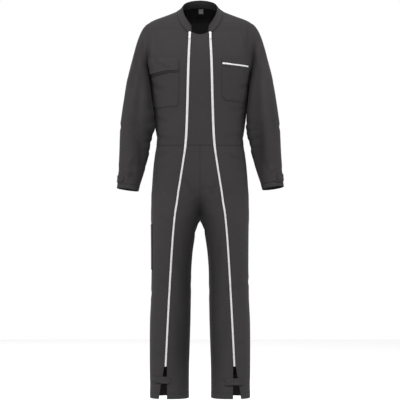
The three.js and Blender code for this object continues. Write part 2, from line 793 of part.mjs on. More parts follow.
function roundedRectangle(width, length, radius) {
  const [x, y] = [width / 2, length / 2];
  const shape = new THREE.Shape();
  shape.moveTo(-x + radius, -y);
  shape.absarc(x - radius, -y + radius, radius, -QUARTER, 0);
  shape.absarc(x - radius, y - radius, radius, 0, QUARTER);
  shape.absarc(-x + radius, y - radius, radius, QUARTER, Math.PI);
  shape.absarc(-x + radius, -y + radius, radius, Math.PI, 3 * QUARTER);
  return shape;
}

function sliderGeometry() {
  const plate = new THREE.ExtrudeGeometry(
    roundedRectangle(SLIDER.width, SLIDER.length, 2.5),
    { depth: SLIDER.thick, bevelEnabled: false, curveSegments: 3 },
  );
  const sunk = 0.4;
  const rise = BAIL.height + BAIL.bar;
  const half = BAIL.opening / 2 + BAIL.bar;
  const arch = new THREE.Shape([
    [-half, -sunk], [half, -sunk], [half, rise - BAIL.bar], [half - BAIL.bar, rise],
    [BAIL.bar - half, rise], [-half, rise - BAIL.bar],
  ].map(([y, z]) => new THREE.Vector2(y, z)));
  arch.holes.push(new THREE.Path([
    [-half + BAIL.bar, 0], [-half + BAIL.bar, BAIL.height], [half - BAIL.bar, BAIL.height],
    [half - BAIL.bar, 0],
  ].map(([y, z]) => new THREE.Vector2(y, z))));
  const bail = new THREE.ExtrudeGeometry(arch, { depth: BAIL.width, bevelEnabled: false });
  bail.applyMatrix4(new THREE.Matrix4().makeBasis(
    new THREE.Vector3(0, 1, 0), new THREE.Vector3(0, 0, 1), new THREE.Vector3(1, 0, 0)));
  bail.translate(-BAIL.width / 2, 0, SLIDER.thick);
  return geometryOf(solid(plate).add(solid(bail)));
}

// The pull tab hangs toward -y from a hinge bar on its own x axis
function pullGeometry() {
  const bar = PULL.thick;
  const shape = roundedRectangle(PULL.width, PULL.length, 2);
  const eye = new THREE.Path();
  const top = PULL.length / 2 - bar;
  const [x, y] = [PULL.eyeWidth / 2, top - PULL.eye];
  eye.setFromPoints([[-x, top], [x, top], [x, y], [-x, y]].map(([a, b]) => new THREE.Vector2(a, b)));
  shape.holes.push(eye);
  const plate = new THREE.ExtrudeGeometry(shape,
    { depth: PULL.thick, bevelEnabled: false, curveSegments: 3 });
  plate.translate(0, (bar - PULL.length) / 2, -PULL.thick / 2);
  return geometryOf(solid(plate));
}

function mesh(name, geometry, material) {
  geometry.computeVertexNormals();
  const piece = new THREE.Mesh(geometry, new THREE.MeshStandardMaterial(material));
  piece.name = name;
  return piece;
}

// A slider with its pull tab, on a zip's face: up is the closing direction along the zip
function sliderGroup(name, { point, normal }, up, height) {
  const group = new THREE.Group();
  const across = up.clone().cross(normal).normalize();
  const along = normal.clone().cross(across);
  group.quaternion.setFromRotationMatrix(new THREE.Matrix4().makeBasis(across, along, normal));
  group.position.copy(point).addScaledVector(normal, height);
  const pull = mesh(`pull_${name}`, pullGeometry(), whitePlastic);
  pull.position.z = HINGE_HEIGHT;
  group.add(mesh(`slider_${name}`, sliderGeometry(), whitePlastic), pull);
  return group;
}

// A slider at the top of a long zip, its pull hanging down
function frontSlider(side, name) {
  const level = ZIP_TOP - SLIDER.length / 2 - FROM_ZIP_END;
  const on = (height) => bodyAt(side, height, turnAt(height, zipLine(height).x));
  const place = on(level);
  const up = on(level + ZIP_PROBE).point.sub(place.point);
  return sliderGroup(name, place, up, PROUD + SLIDER_CLEARANCE);
}

// The pocket's slider stands at the zip's inner end, its pull lying along the closed teeth
function pocketSlider() {
  const x = POCKET_ZIP.inner + SLIDER.length / 2 + FROM_ZIP_END;
  const level = (at) => POCKET_ZIP.level + POCKET_ZIP.slope * (at - POCKET_ZIP.inner);
  const on = (at) => bodyAt(LEFT, level(at), turnAt(level(at), at));
  const place = on(x);
  const inward = on(x - ZIP_PROBE).point.sub(place.point);
  return sliderGroup("pocket", place, inward, FLAP_LIFT + TRIM + SLIDER_CLEARANCE);
}

const suit = new THREE.Group();

suit.add(mesh("bib", bibGeometry(), cloth));
suit.add(mesh("back_upper", upperBackGeometry(), cloth));
suit.add(mesh("collar", collarGeometry(), cloth));
suit.add(mesh("neck_label", labelGeometry(), labelCloth));
for (const [side, word] of [[RIGHT, "right"], [LEFT, "left"]]) {
  suit.add(mesh(`chest_${word}`, chestGeometry(side), cloth));
  suit.add(mesh(`leg_inner_${word}`, innerLegGeometry(side), cloth));
  suit.add(mesh(`leg_outer_${word}`, outerLegGeometry(side), cloth));
  suit.add(mesh(`leg_back_${word}`, backLegGeometry(side), cloth));
  suit.add(mesh(`sleeve_${word}`, sleeveGeometry(side), cloth));
  suit.add(mesh(`zip_${word}`, zipGeometry(side), whitePlastic));
  suit.add(mesh(`leg_tab_${word}`, legTabGeometry(side), cloth));
  suit.add(mesh(`cuff_tab_${word}`, cuffTabGeometry(side), cloth));
  suit.add(frontSlider(side, word));
}
suit.add(mesh("pocket_right", chestPocketGeometry(RIGHT, RIGHT_POCKET), cloth));
suit.add(mesh("pocket_flap", flapGeometry(), cloth));
suit.add(mesh("pocket_left", chestPocketGeometry(LEFT, LEFT_POCKET), cloth));
suit.add(mesh("pocket_zip", pocketZipGeometry(), whitePlastic));
suit.add(mesh("tool_pocket", toolPocketGeometry(), cloth));
suit.add(pocketSlider());

export default suit;
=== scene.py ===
import math
from types import SimpleNamespace

import bmesh
import bpy
import numpy as np
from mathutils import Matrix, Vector


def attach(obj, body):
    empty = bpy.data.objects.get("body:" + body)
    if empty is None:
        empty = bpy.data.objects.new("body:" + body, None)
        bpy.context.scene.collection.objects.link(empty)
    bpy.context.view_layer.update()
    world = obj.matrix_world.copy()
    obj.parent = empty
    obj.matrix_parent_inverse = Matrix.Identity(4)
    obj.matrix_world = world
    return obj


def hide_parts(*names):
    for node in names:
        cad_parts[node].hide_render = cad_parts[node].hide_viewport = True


# A boiler suit with two long front zips, filled out as if it were worn.
# Tables are in millimetres and meshes in metres. The front faces -Y, the wearer's left is +X and
# the origin lies where the shoulders carry the suit.

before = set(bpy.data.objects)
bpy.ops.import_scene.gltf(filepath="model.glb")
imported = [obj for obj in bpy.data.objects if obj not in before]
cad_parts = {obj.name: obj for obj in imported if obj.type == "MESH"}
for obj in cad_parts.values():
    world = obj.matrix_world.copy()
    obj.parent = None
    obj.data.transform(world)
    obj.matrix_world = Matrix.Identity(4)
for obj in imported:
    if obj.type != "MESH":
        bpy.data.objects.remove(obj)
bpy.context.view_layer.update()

MM = 0.001
LEFT = 1
RIGHT = -1
QUARTER = math.pi / 2

# Cloth and seams
SHELL = 1.0
SEAM = 0.3
HALF_SEAM = SEAM / 2
SEAM_OVERLAP = 0.6
SEAM_TURN = 0.002
TRIM = 1.6

# Heights of the main seams and edges
NECK_SIDE = 7
SHOULDER_POINT = -43
ZIP_TOP = -84.5
UNDERARM = -262
WAIST = -548
ZIP_END = -1445
HEM = -1578

BODY_SQUARE = 2.4
SLEEVE_SQUARE = 2.15
BACK_NECK_RISE = 20
BACK_NECK_RISE_FROM = -70
ARMHOLE_FRONT = 62
ARMHOLE_BACK = 70
ARMHOLE_MIDDLE = (SHOULDER_POINT + UNDERARM) / 2
ARMHOLE_HALF = (SHOULDER_POINT - UNDERARM) / 2
ZIP_HALF = 5.2
ZIP_COVER_TOP = 0.4
ZIP_COVER_LEG = 1.4
POCKET_ZIP_HALF = 2.8
NECKLINE_DIP = 12
NECK_FRONT = 46.4
CAP_END = -257.5
CUFF = -724
ARM_HANG_FROM = -430


def named_rows(names, rows):
    """Names the columns of a short table."""
    return [SimpleNamespace(**dict(zip(names.split(), row))) for row in rows]


def rows_by_face(names, groups):
    """Names the columns of a table whose rows are kept by their face and side."""
    return named_rows(names, [(*place, *row) for place, rows in groups.items() for row in rows])


def unit(vectors):
    return vectors / np.maximum(np.linalg.norm(vectors, axis=-1, keepdims=True), 1e-9)


def smooth_table(names, rows):
    """A short table read as smooth courses over its first column, with no overshoot."""
    data = np.array(sorted(rows), float)
    at, values = data[:, 0], data
    slopes = np.diff(values, axis=0) / np.diff(at)[:, None]
    before = np.vstack([slopes[:1], slopes])
    after = np.vstack([slopes, slopes[-1:]])
    both = before + after
    tangents = np.where(before * after > 0,
                        2 * before * after / np.where(both == 0, 1, both), 0)

    def read(place):
        where = np.clip(np.asarray(place, float), at[0], at[-1])
        k = np.clip(np.searchsorted(at, where) - 1, 0, len(at) - 2)
        step = at[k + 1] - at[k]
        q = (where - at[k]) / step
        found = {}
        for column, name in enumerate(names.split()):
            found[name] = hermite(q, values[k, column], step * tangents[k, column],
                                  values[k + 1, column], step * tangents[k + 1, column])
        return SimpleNamespace(**found)
    return read


def hermite(q, start, start_tangent, end, end_tangent):
    q2, q3 = q * q, q * q * q
    return ((2 * q3 - 3 * q2 + 1) * start + (q3 - 2 * q2 + q) * start_tangent
            + (3 * q2 - 2 * q3) * end + (q3 - q2) * end_tangent)


def smooth_step(low, high, value):
    t = np.clip((value - low) / (high - low), 0, 1)
    return t * t * (3 - 2 * t)


# Sections of one half of the body: the centre of the oval and its half width, then the depth of
# its front, its side line and its back
body_section = smooth_table("level centre half_width front side back", [
    (7, 0, 90, -22, 12, 74),
    (0, 0, 105, -38, 12, 82),
    (-16, 0, 146, -57, 11, 93),
    (-33, 0, 191, -69, 9, 101),
    (-43, 0, 208, -76, 8, 105),
    (-60, 0, 223, -84, 8, 110),
    (-84.5, 0, 231, -91, 7, 115),
    (-110, 0, 235, -103, 6, 119),
    (-152, 0, 236, -118, 4, 123),
    (-200, 0, 226, -130, 4, 125),
    (-262, 0, 208, -137, 10, 124),
    (-300, 0, 203, -138, 18, 122),
    (-361, 0, 198, -136, 22, 118),
    (-430, 0, 189.5, -131, 20, 113),
    (-475, 0, 183.5, -128, 14, 109),
    (-548, 0, 179, -123, 6, 107),
    (-582, 0, 184, -122, 3, 110),
    (-631, 0, 190, -121, 0, 117),
    (-705, 0, 195.6, -121, 1, 129),
    (-740, 1.5, 197, -121, 2, 134),
    (-770, 22, 177.5, -121, 3, 136),
    (-800, 52, 148.5, -119, 4, 134),
    (-830, 83, 117.5, -117, 5, 131),
    (-855, 100.2, 100.2, -114, 6, 128),
    (-869, 104.3, 95.2, -112, 6, 126),
    (-902, 109, 90, -108, 6, 122),
    (-935, 111.5, 87.2, -104, 6, 118),
    (-1000, 115.3, 83, -98, 6, 112),
    (-1066, 117.4, 81, -93, 5, 104),
    (-1164, 118.8, 81.2, -88, 4, 95),
    (-1263, 122, 82.6, -84, 4, 93),
    (-1394, 124.5, 81, -80, 5, 91),
    (-1460, 125.4, 80, -78, 5, 90),
    (-1578, 125.2, 79, -77, 5, 88),
])

# Half width of the neckline in front
neckline = smooth_table("level x", [
    (7, 90), (-5, 89.5), (-28, 85), (-45, 77.5), (-62, 66), (-76, 54),
    (-84.5, NECK_FRONT),
])

# Distance of a zip's middle line from the middle of the body
zip_line = smooth_table("level x", [
    (-84.5, 41), (-222, 47), (-367, 50.7), (-488, 54.9), (-548, 59.3), (-609, 67.8),
    (-706, 83.2), (-771, 93.9), (-835, 102.5), (-932, 111.2), (-1094, 121.7), (-1256, 130.5),
    (-1445, 140),
])

# The slit below a zip
slit_edges = smooth_table("level inner outer", [
    (-1445, 134.6, 145.4), (-1480, 134.6, 151), (-1515, 134.5, 158), (-1578, 134, 167.5),
])

# Sections of a sleeve below its cap. Tilt lifts the outer side of a section over its inner side.
sleeve_section = smooth_table("level centre half_width front side back tilt", [
    (-257.5, 243.4, 41.6, -76, -16, 82, 0.8),
    (-300, 249, 49.4, -88, -26, 68, 0.45),
    (-361, 251.8, 57.4, -97, -36, 52, 0.22),
    (-430, 254.6, 65.6, -97, -34, 43, 0.14),
    (-475, 256.8, 69, -93, -27, 43, 0.12),
    (-505, 260.5, 67, -90, -24, 42, 0.14),
    (-533, 265.8, 63.3, -88, -23, 41, 0.16),
    (-570, 269.8, 60.6, -86, -23, 38, 0.16),
    (-607, 275.5, 56.8, -83, -23, 35, 0.16),
    (-656, 284.3, 51.2, -78, -24, 29, 0.15),
    (-705, 293.9, 45.2, -73, -24, 24, 0.14),
    (-724, 297.5, 43.8, -72, -24, 22, 0.14),
])

# The two arms hang a little unalike: how far each cuff drops, spreads and faces forward
ARM_HANG = {
    LEFT: SimpleNamespace(drop=-4, spread=1, pitch=-0.125),
    RIGHT: SimpleNamespace(drop=2.5, spread=-2, pitch=-0.08),
}

# The largest soft folds of the body and of a sleeve: where each lies, its half length along the
# turn and half height, its slope and how deep it is
FOLD_COLUMNS = "level turn length height slope depth"
BODY_FOLDS = named_rows(FOLD_COLUMNS, [
    (-505, 1.35, 0.5, 16, 18, 3),
    (-528, 1.75, 0.6, 14, -10, 3),
    (-800, 0.2, 0.5, 20, 60, 3.5),
    (-835, 0.75, 0.6, 16, 34, 2.5),
    (-862, 2.7, 0.7, 18, -40, 4),
    (-905, 3.3, 0.6, 16, -34, 3),
    (-1120, 2.9, 0.7, 18, -20, 4),
    (-1165, 3.4, 0.7, 16, 14, 3.5),
    (-1140, 0.3, 0.6, 20, 18, 2.5),
    (-1500, 2.2, 0.6, 16, 16, 3),
])
SLEEVE_FOLDS = named_rows(FOLD_COLUMNS, [
    (-455, 2.4, 0.8, 13, 12, 2.5),
    (-488, 2.4, 0.8, 12, -8, 3),
    (-520, 2.5, 0.8, 12, -16, 3),
    (-575, 2.4, 0.7, 14, -22, 3),
    (-470, 4.4, 0.7, 15, 14, 3.5),
    (-640, 1.2, 0.8, 15, 16, 2.5),
])

# Top edge of the stand collar: its front half against the level of the seam below it, and its
# back half in parts from side to back
collar_front = smooth_table("level x y z", [
    (-84.5, 43, -84.5, -50), (-76, 52, -75, -36), (-62, 60, -61, -22), (-45, 65.5, -45, -10),
    (-28, 69, -25, 4), (-5, 69.5, -6, 16), (7, 69.5, 14, 26.5),
])
collar_back = smooth_table("part x y z", [
    (0, 69.5, 14, 26.5), (0.3, 62, 39, 38), (0.55, 48, 59, 47.5), (0.8, 25, 70, 54),
    (1, 0, 73.5, 56.5),
])
COLLAR_END = SimpleNamespace(x=34.6, edge=(34.8, -88.5, -63))
# Level inside the back above which the inside is painted darker and below which it is painted
# lighter
NECK_SHADE_LEVEL = -34
COLLAR_BULGE = -1.5
COLLAR_THICK = 2.0
COLLAR_TUCK = -0.13
COLLAR_TUCK_DEPTH = 1.2

# Creases, kept by the face and side they lie on. Each runs from one place to
# another: across is the distance from the middle on the front and back, and the depth y on the
# outer and inner sides. Bow bends its line, and a depth below zero makes it a ridge.
CREASE_COLUMNS = "face side across level to_across to_level bow width depth"
# Each crease also carries painted shade. In both tables the rows just below the pocket flap and the
# leg and cuff tabs are troughs whose painted shade stands for the shadows those pieces cast.
BODY_CREASES = rows_by_face(CREASE_COLUMNS, {
    ("front", LEFT): [
        (98, -1524.5, 174, -1524.5, 0, 3.4, 7), (88, -1500, 110, -1518, 2, 5, 1.6),
        (194, -66, 202, -190, -4, 9, 2.6), (168, -75, 178, -180, 5, 9, 1.8),
        (198, -292, 150, -316, 7, 9, 1.8), (186, -392, 120, -405, 5, 10, 1.4),
        (172, -503, 96, -520, -4, 9, 0.9), (116, -584, 172, -604, -5, 9, 1.6),
        (0, -724, 48, -722, 3, 9, 1.5), (3, -756, 46, -806, 6, 12, 1),
        (8, -790, 40, -850, 4, 11, 1.2), (70, -700, 44, -752, -5, 10, 1.6),
        (90, -890, 82, -1050, -6, 12, 1.8), (156, -1120, 100, -1140, -5, 11, 1.6),
        (104, -1190, 96, -1390, 6, 13, 1.7), (186, -1340, 156, -1366, -4, 10, 1.2),
    ],
    ("front", RIGHT): [
        (122, -1517.5, 206, -1514, 0, 3.4, 6), (160, -1512, 204, -1508, 2, 4, 3),
        (150, -1486, 196, -1490, 2, 5, 1.6), (90, -252, 130, -250, 0, 4.5, 2.2),
        (122, -251, 206, -268, 1, 5, 5.5), (178, -192, 166, -224, 3, 6, 2),
        (156, -212, 116, -240, 4, 6, 2.4), (204, -80, 208, -200, -2, 7, 2.4),
        (178, -70, 172, -160, 5, 12, 1.5), (200, -285, 140, -322, 9, 10, 2.2),
        (184, -430, 130, -452, 6, 11, 1.5), (168, -510, 104, -522, 4, 9, 0.9),
        (120, -578, 176, -596, 4, 9, 1.5), (4, -730, 62, -780, 8, 12, 1),
        (3, -760, 56, -830, 7, 12, 1.6), (62, -690, 40, -745, -6, 11, 1.6),
        (92, -900, 84, -1080, 6, 13, 2), (160, -1090, 108, -1122, 5, 11, 1.6),
        (98, -1200, 92, -1420, -6, 14, 1.8), (186, -1380, 150, -1400, 4, 10, 1.2),
    ],
    ("back", RIGHT): [
        (196, -70, 190, -215, 6, 11, 3), (150, -84, 128, -210, 9, 13, 1.8),
        (196, -280, 118, -330, 10, 12, 2.6), (160, -470, 40, -502, 7, 11, 2.4),
        (120, -512, 10, -526, 4, 9, 2.2), (150, -580, 60, -604, 5, 11, 1.8),
        (12, -770, 84, -846, 10, 12, 3.2), (20, -820, 110, -880, 12, 12, 3),
        (60, -880, 150, -930, 9, 12, 2.4), (176, -1085, 80, -1112, 6, 12, 2.8),
        (160, -1140, 66, -1150, -5, 11, 2.4), (176, -1188, 92, -1214, 5, 12, 1.8),
        (130, -1250, 124, -1450, 7, 14, 2), (160, -1500, 96, -1524, 5, 11, 1.8),
    ],
    ("back", LEFT): [
        (194, -66, 186, -200, -6, 11, 2.8), (148, -90, 132, -230, -8, 13, 1.9),
        (198, -288, 126, -345, -9, 12, 2.4), (164, -462, 30, -490, -7, 11, 2.3),
        (140, -505, 50, -524, -5, 9, 2.2), (146, -588, 70, -610, -5, 11, 1.8),
        (12, -764, 80, -836, 9, 12, 3), (20, -812, 104, -866, 11, 12, 2.8),
        (58, -872, 140, -914, -8, 12, 2.2), (172, -1096, 84, -1128, -6, 12, 2.8),
        (168, -1158, 78, -1170, 5, 11, 2.4), (120, -1230, 128, -1440, -7, 14, 2),
        (154, -1490, 92, -1508, -5, 11, 1.8),
    ],
    ("outer", RIGHT): [
        (-60, -508, 50, -520, 5, 9, 2), (40, -640, 60, -800, 8, 14, 1.6),
        (-20, -1140, 60, -1170, -6, 12, 1.8),
    ],
    ("outer", LEFT): [
        (-50, -500, 60, -516, -5, 9, 2), (30, -650, 56, -830, -8, 14, 1.6),
        (-30, -1100, 60, -1128, 6, 12, 1.8),
    ],
    ("inner", RIGHT): [
        (-50, -880, 40, -930, 7, 11, 2.2), (-30, -1110, 50, -1134, 6, 16, 0.9),
    ],
    ("inner", LEFT): [
        (-46, -872, 44, -918, 7, 11, 2.2), (-34, -1124, 48, -1150, -6, 16, 0.9),
    ],
})
SLEEVE_CREASES = rows_by_face(CREASE_COLUMNS, {
    ("front", RIGHT): [
        (232, -120, 222, -235, 6, 10, 3.2), (250, -150, 244, -290, 8, 13, 2.4),
        (236, -260, 262, -600, 12, 15, 4), (262, -230, 270, -330, 5, 12, 2.2),
        (290, -400, 296, -560, -6, 15, 1.8), (216, -534, 250, -546, -4, 9, 0.8),
        (262, -590, 282, -672, 6, 9, 2.6), (304, -708, 344, -702, -2, 3.5, 2.4),
        (268, -662, 292, -684, 3, 8, 2.6), (318, -650, 284, -668, 4, 8, 1.8),
    ],
    ("front", LEFT): [
        (234, -112, 224, -225, -6, 10, 3.4), (254, -160, 246, -280, -8, 13, 2.2),
        (236, -250, 256, -580, -8, 16, 4.5), (286, -380, 300, -600, 8, 14, 1.8),
        (208, -470, 240, -478, -3, 9, 0.8), (212, -510, 246, -524, 4, 9, 0.9),
        (266, -600, 284, -664, -5, 9, 2.2), (296, -692, 344, -698, -2, 3.6, 5.5),
        (322, -646, 290, -664, -4, 8, 1.8),
    ],
    ("back", RIGHT): [
        (226, -130, 216, -250, 7, 11, 3), (306, -440, 226, -462, 6, 10, 3.4),
        (300, -486, 224, -500, -5, 9, 3.6), (314, -530, 236, -552, 5, 9, 2.8),
        (272, -560, 290, -680, 6, 12, 2.2),
    ],
    ("back", LEFT): [
        (228, -124, 218, -240, -7, 11, 3), (302, -430, 222, -450, -6, 10, 3.4),
        (306, -478, 222, -492, 5, 9, 3.4), (312, -520, 236, -544, -5, 9, 2.8),
        (270, -566, 292, -676, -6, 12, 2.2),
    ],
    ("outer", RIGHT): [
        (-60, -470, 20, -486, 5, 10, 2.2), (-40, -210, -20, -360, 7, 14, 1.8),
        (-60, -640, 10, -656, 4, 12, 1),
    ],
    ("outer", LEFT): [
        (-56, -460, 24, -480, -5, 10, 2.2), (-36, -200, -16, -350, -7, 14, 1.8),
        (-56, -634, 14, -652, -4, 12, 1),
    ],
    ("inner", RIGHT): [
        (-90, -428, 30, -434, 4, 26, -4.6), (-90, -470, 26, -476, 4, 20, -6.5),
        (-84, -532, 26, -540, 4, 6, 2.4), (-84, -562, 26, -570, -3, 6, 2),
        (-84, -620, 16, -632, -4, 8, 1.4),
    ],
    ("inner", LEFT): [
        (-84, -446, 22, -456, -5, 6, 1.6), (-84, -486, 28, -494, 5, 7, 2.2),
        (-84, -518, 26, -528, -4, 6, 1.8), (-84, -556, 24, -566, 4, 7, 2),
    ],
})
# Painted shade in a crease for each millimetre of its depth: darker in its trough, a little lighter
# on its brows
CREASE_PAINTED_SHADE = 0.045

# Broad patches of painted shade, where the cloth is darkened as shade would fall in a hollow: their
# middle and half sizes, and how dark each is
HOLLOW_COLUMNS = "face side across level half_width half_height dark"
BODY_PAINTED_SHADE = rows_by_face(HOLLOW_COLUMNS, {
    ("front", RIGHT): [
        (10, -815, 24, 66, 0.34), (40, -1060, 60, 260, 0.46),
        (62, -1400, 50, 200, 0.34), (212, -200, 8, 55, 0.4),
    ],
    ("front", LEFT): [
        (8, -815, 22, 62, 0.3), (46, -1030, 36, 230, 0.26),
        (56, -1390, 36, 190, 0.24), (214, -185, 9, 62, 0.4),
        (190, -140, 14, 70, 0.12),
    ],
    ("back", RIGHT): [
        (20, -820, 28, 80, 0.25), (50, -1100, 40, 260, 0.2),
    ],
    ("back", LEFT): [
        (20, -815, 26, 76, 0.25), (50, -1100, 40, 260, 0.2),
    ],
    ("inner", RIGHT): [
        (0, -1080, 90, 330, 0.15),
    ],
    ("inner", LEFT): [
        (0, -1080, 90, 330, 0.12),
    ],
})
SLEEVE_PAINTED_SHADE = rows_by_face(HOLLOW_COLUMNS, {
    ("front", RIGHT): [
        (216, -200, 8, 55, 0.4), (212, -480, 34, 120, 0.24),
        (248, -600, 24, 100, 0.26), (248, -570, 9, 90, 0.14),
        (282, -664, 12, 24, 0.1), (270, -676, 11, 36, 0.1),
        (290, -250, 26, 90, 0.1), (262, -170, 30, 60, 0.12),
    ],
    ("front", LEFT): [
        (217, -185, 9, 62, 0.4), (214, -430, 30, 130, 0.12),
        (248, -580, 26, 110, 0.3), (254, -560, 9, 90, 0.12),
    ],
    ("back", RIGHT): [
        (214, -400, 30, 160, 0.2),
    ],
    ("back", LEFT): [
        (214, -400, 30, 160, 0.2),
    ],
    ("inner", RIGHT): [
        (-30, -450, 70, 170, 0.15),
    ],
    ("inner", LEFT): [
        (-30, -450, 70, 170, 0.15),
    ],
})
FACE_AXES = {"front": (0, -1), "back": (0, 1), "outer": (1, 0), "inner": (-1, 0)}


def on_face(row, point, normal):
    """Distance across the face that a row is placed on, and how much of the face a point has."""
    sideways, forward = FACE_AXES[row.face]
    facing = row.side * sideways * normal[..., 0] + forward * normal[..., 1]
    own = smooth_step(-1, 1, row.side * point[..., 0]) if sideways else 1
    across = point[..., 1] if sideways else row.side * point[..., 0]
    return across, own * smooth_step(0.1, 0.55, facing)


def relief(creases, point, normal):
    """Height of the creases at each point of a face, and their painted shade: darker in the
    troughs, a little lighter on the brows.
    """
    total = np.zeros(point.shape[:-1])
    for crease in creases:
        across, own = on_face(crease, point, normal)
        run = np.array([crease.to_across - crease.across, crease.to_level - crease.level], float)
        length = np.hypot(*run)
        run /= length
        offset = (across - crease.across, point[..., 2] - crease.level)
        along = (offset[0] * run[0] + offset[1] * run[1]) / length
        bow = 4 * crease.bow * np.clip(along, 0, 1) * (1 - np.clip(along, 0, 1))
        off = (offset[0] * -run[1] + offset[1] * run[0]) - bow
        spread = crease.width * (0.75 + 0.5 * np.clip(along, 0, 1))
        fade = smooth_step(-0.18, 0.3, along) * (1 - smooth_step(0.7, 1.18, along))
        trough = np.exp(-(off / spread) ** 2)
        brow = np.exp(-((np.abs(off) - 1.9 * spread) / spread) ** 2)
        total += crease.depth * fade * own * (trough - 0.3 * brow)
    beside_seam = smooth_step(2, 16, np.abs(point[..., 0]))
    return -total * beside_seam, np.clip(CREASE_PAINTED_SHADE * total, -0.05, 0.3)


def hollow_shade(hollows, point, normal):
    """How much painted shade darkens the cloth in the broad patches of shade."""
    total = 0
    for hollow in hollows:
        across, own = on_face(hollow, point, normal)
        away = (((across - hollow.across) / hollow.half_width) ** 2
                + ((point[..., 2] - hollow.level) / hollow.half_height) ** 2)
        total = total + hollow.dark * own * np.exp(-away)
    return total


def fold_depth(folds, level, turn):
    total = 0
    for fold in folds:
        along = (turn - fold.turn) / fold.length
        across = (level - fold.level - fold.slope * along) / fold.height
        total = total - fold.depth * np.exp(-along * along - across * across)
    return total


def oval(turn, square):
    sine, cosine = np.sin(turn), np.cos(turn)
    reach = (np.abs(sine) ** square + np.abs(cosine) ** square) ** (-1 / square)
    return sine * reach, cosine * reach


def turn_of(across, square):
    u = np.clip(across, -1, 1)
    return np.arctan2(u, (1 - np.abs(u) ** square) ** (1 / square))


def body(side, level, turn):
    """Outer face of the body, from the middle of the front (turn 0) round the side to the back."""
    section = body_section(level)
    across, forward = oval(turn, BODY_SQUARE)
    depth = np.where(forward > 0, section.side - section.front, section.back - section.side)
    backness = np.where(turn > QUARTER, np.sin(turn - QUARTER) ** 2, 0)
    rise = BACK_NECK_RISE * backness * smooth_step(BACK_NECK_RISE_FROM, NECK_SIDE, level)
    swell = fold_depth(BODY_FOLDS, level, turn)
    x = section.centre + (section.half_width + swell) * across
    y = section.side - (depth + swell) * forward
    return np.stack(np.broadcast_arrays(side * x, y, level + rise), -1)


def turn_at(level, x):
    section = body_section(level)
    return turn_of((x - section.centre) / section.half_width, BODY_SQUARE)


def armhole_turn(level, behind, grown=0):
    """Turn of the armhole's edge at a level, or of a line that keeps a distance outside it."""
    section = body_section(level)
    height = np.clip((level - ARMHOLE_MIDDLE) / (ARMHOLE_HALF + grown), -1, 1)
    half = np.where(behind, ARMHOLE_BACK, ARMHOLE_FRONT) + grown
    depth = np.where(behind, section.back - section.side, section.side - section.front)
    forward = half * np.sqrt(1 - height * height) / depth
    turn = np.arctan2((1 - forward ** BODY_SQUARE) ** (1 / BODY_SQUARE), forward)
    return np.where(behind, math.pi - turn, turn)


def sleeve_tube(side, level, turn):
    """A point of the sleeve's tube, round from its outer side over its front."""
    section = sleeve_section(level)
    across, forward = oval(QUARTER - turn, SLEEVE_SQUARE)
    depth = np.where(forward > 0, section.side - section.front, section.back - section.side)
    hang = ARM_HANG[side]
    along = smooth_step(-ARM_HANG_FROM, -CUFF, -level)
    swell = fold_depth(SLEEVE_FOLDS, level, turn)
    outward = (section.half_width + swell) * across
    back = -(depth + swell) * forward
    z = level + section.tilt * outward + along * (hang.pitch * back - hang.drop)
    x = side * (section.centre + outward + along * hang.spread)
    return np.stack(np.broadcast_arrays(x, section.side + back, z), -1)


def mix(low, high, part):
    return low + (high - low) * part


def cap_reach(turn):
    return mix(30, 135, (1 + np.cos(turn)) / 2)


def sleeve(side, place, turn):
    """Outer face of a sleeve: place runs from 0 at the armhole to 1 at the cap's end, then to 2."""
    place, turn = np.broadcast_arrays(place, turn)
    tube = sleeve_tube(side, mix(CAP_END, CUFF, np.maximum(place - 1, 0)), turn)
    top = (1 + np.cos(turn)) / 2
    level = ARMHOLE_MIDDLE + ARMHOLE_HALF * np.cos(turn)
    start = body(side, level, armhole_turn(level, turn % (2 * math.pi) > math.pi))
    end = sleeve_tube(side, np.full(place.shape, CAP_END), turn)
    leaving = np.stack([side * mix(-0.05, 0.93, top), 0 * top, mix(-1, -0.38, top)], -1)
    leaving = leaving * cap_reach(turn)[..., None]
    probe = 10
    arriving = sleeve_tube(side, np.full(place.shape, CAP_END - probe), turn) - end
    arriving = arriving * (mix(30, 150, top) / probe)[..., None]
    q = np.minimum(place, 1)[..., None]
    return np.where(place[..., None] >= 1, tube, hermite(q, start, leaving, end, arriving))


def faced(face, side, u, v, du, dv):
    along_u = face(side, u + du, v) - face(side, u - du, v)
    along_v = face(side, u, v + dv) - face(side, u, v - dv)
    normal = side * np.cross(along_v, along_u)
    return unit(normal)


def body_at(side, level, turn):
    """Points of the creased body with their outward normals."""
    level, turn = np.broadcast_arrays(np.asarray(level, float), np.asarray(turn, float))
    inside = np.clip(level, HEM + 1, NECK_SIDE - 1)
    normal = faced(body, side, inside, turn, 1, 0.01)
    point = body(side, level, turn)
    return point + normal * relief(BODY_CREASES, point, normal)[0][..., None], normal


def sleeve_at(side, place, turn):
    step = 0.002
    place, turn = np.broadcast_arrays(np.asarray(place, float), np.asarray(turn, float))
    normal = faced(sleeve, side, np.clip(place, step, 2 - step), turn, step, 0.01)
    point = sleeve(side, place, turn)
    return point + normal * relief(SLEEVE_CREASES, point, normal)[0][..., None], normal


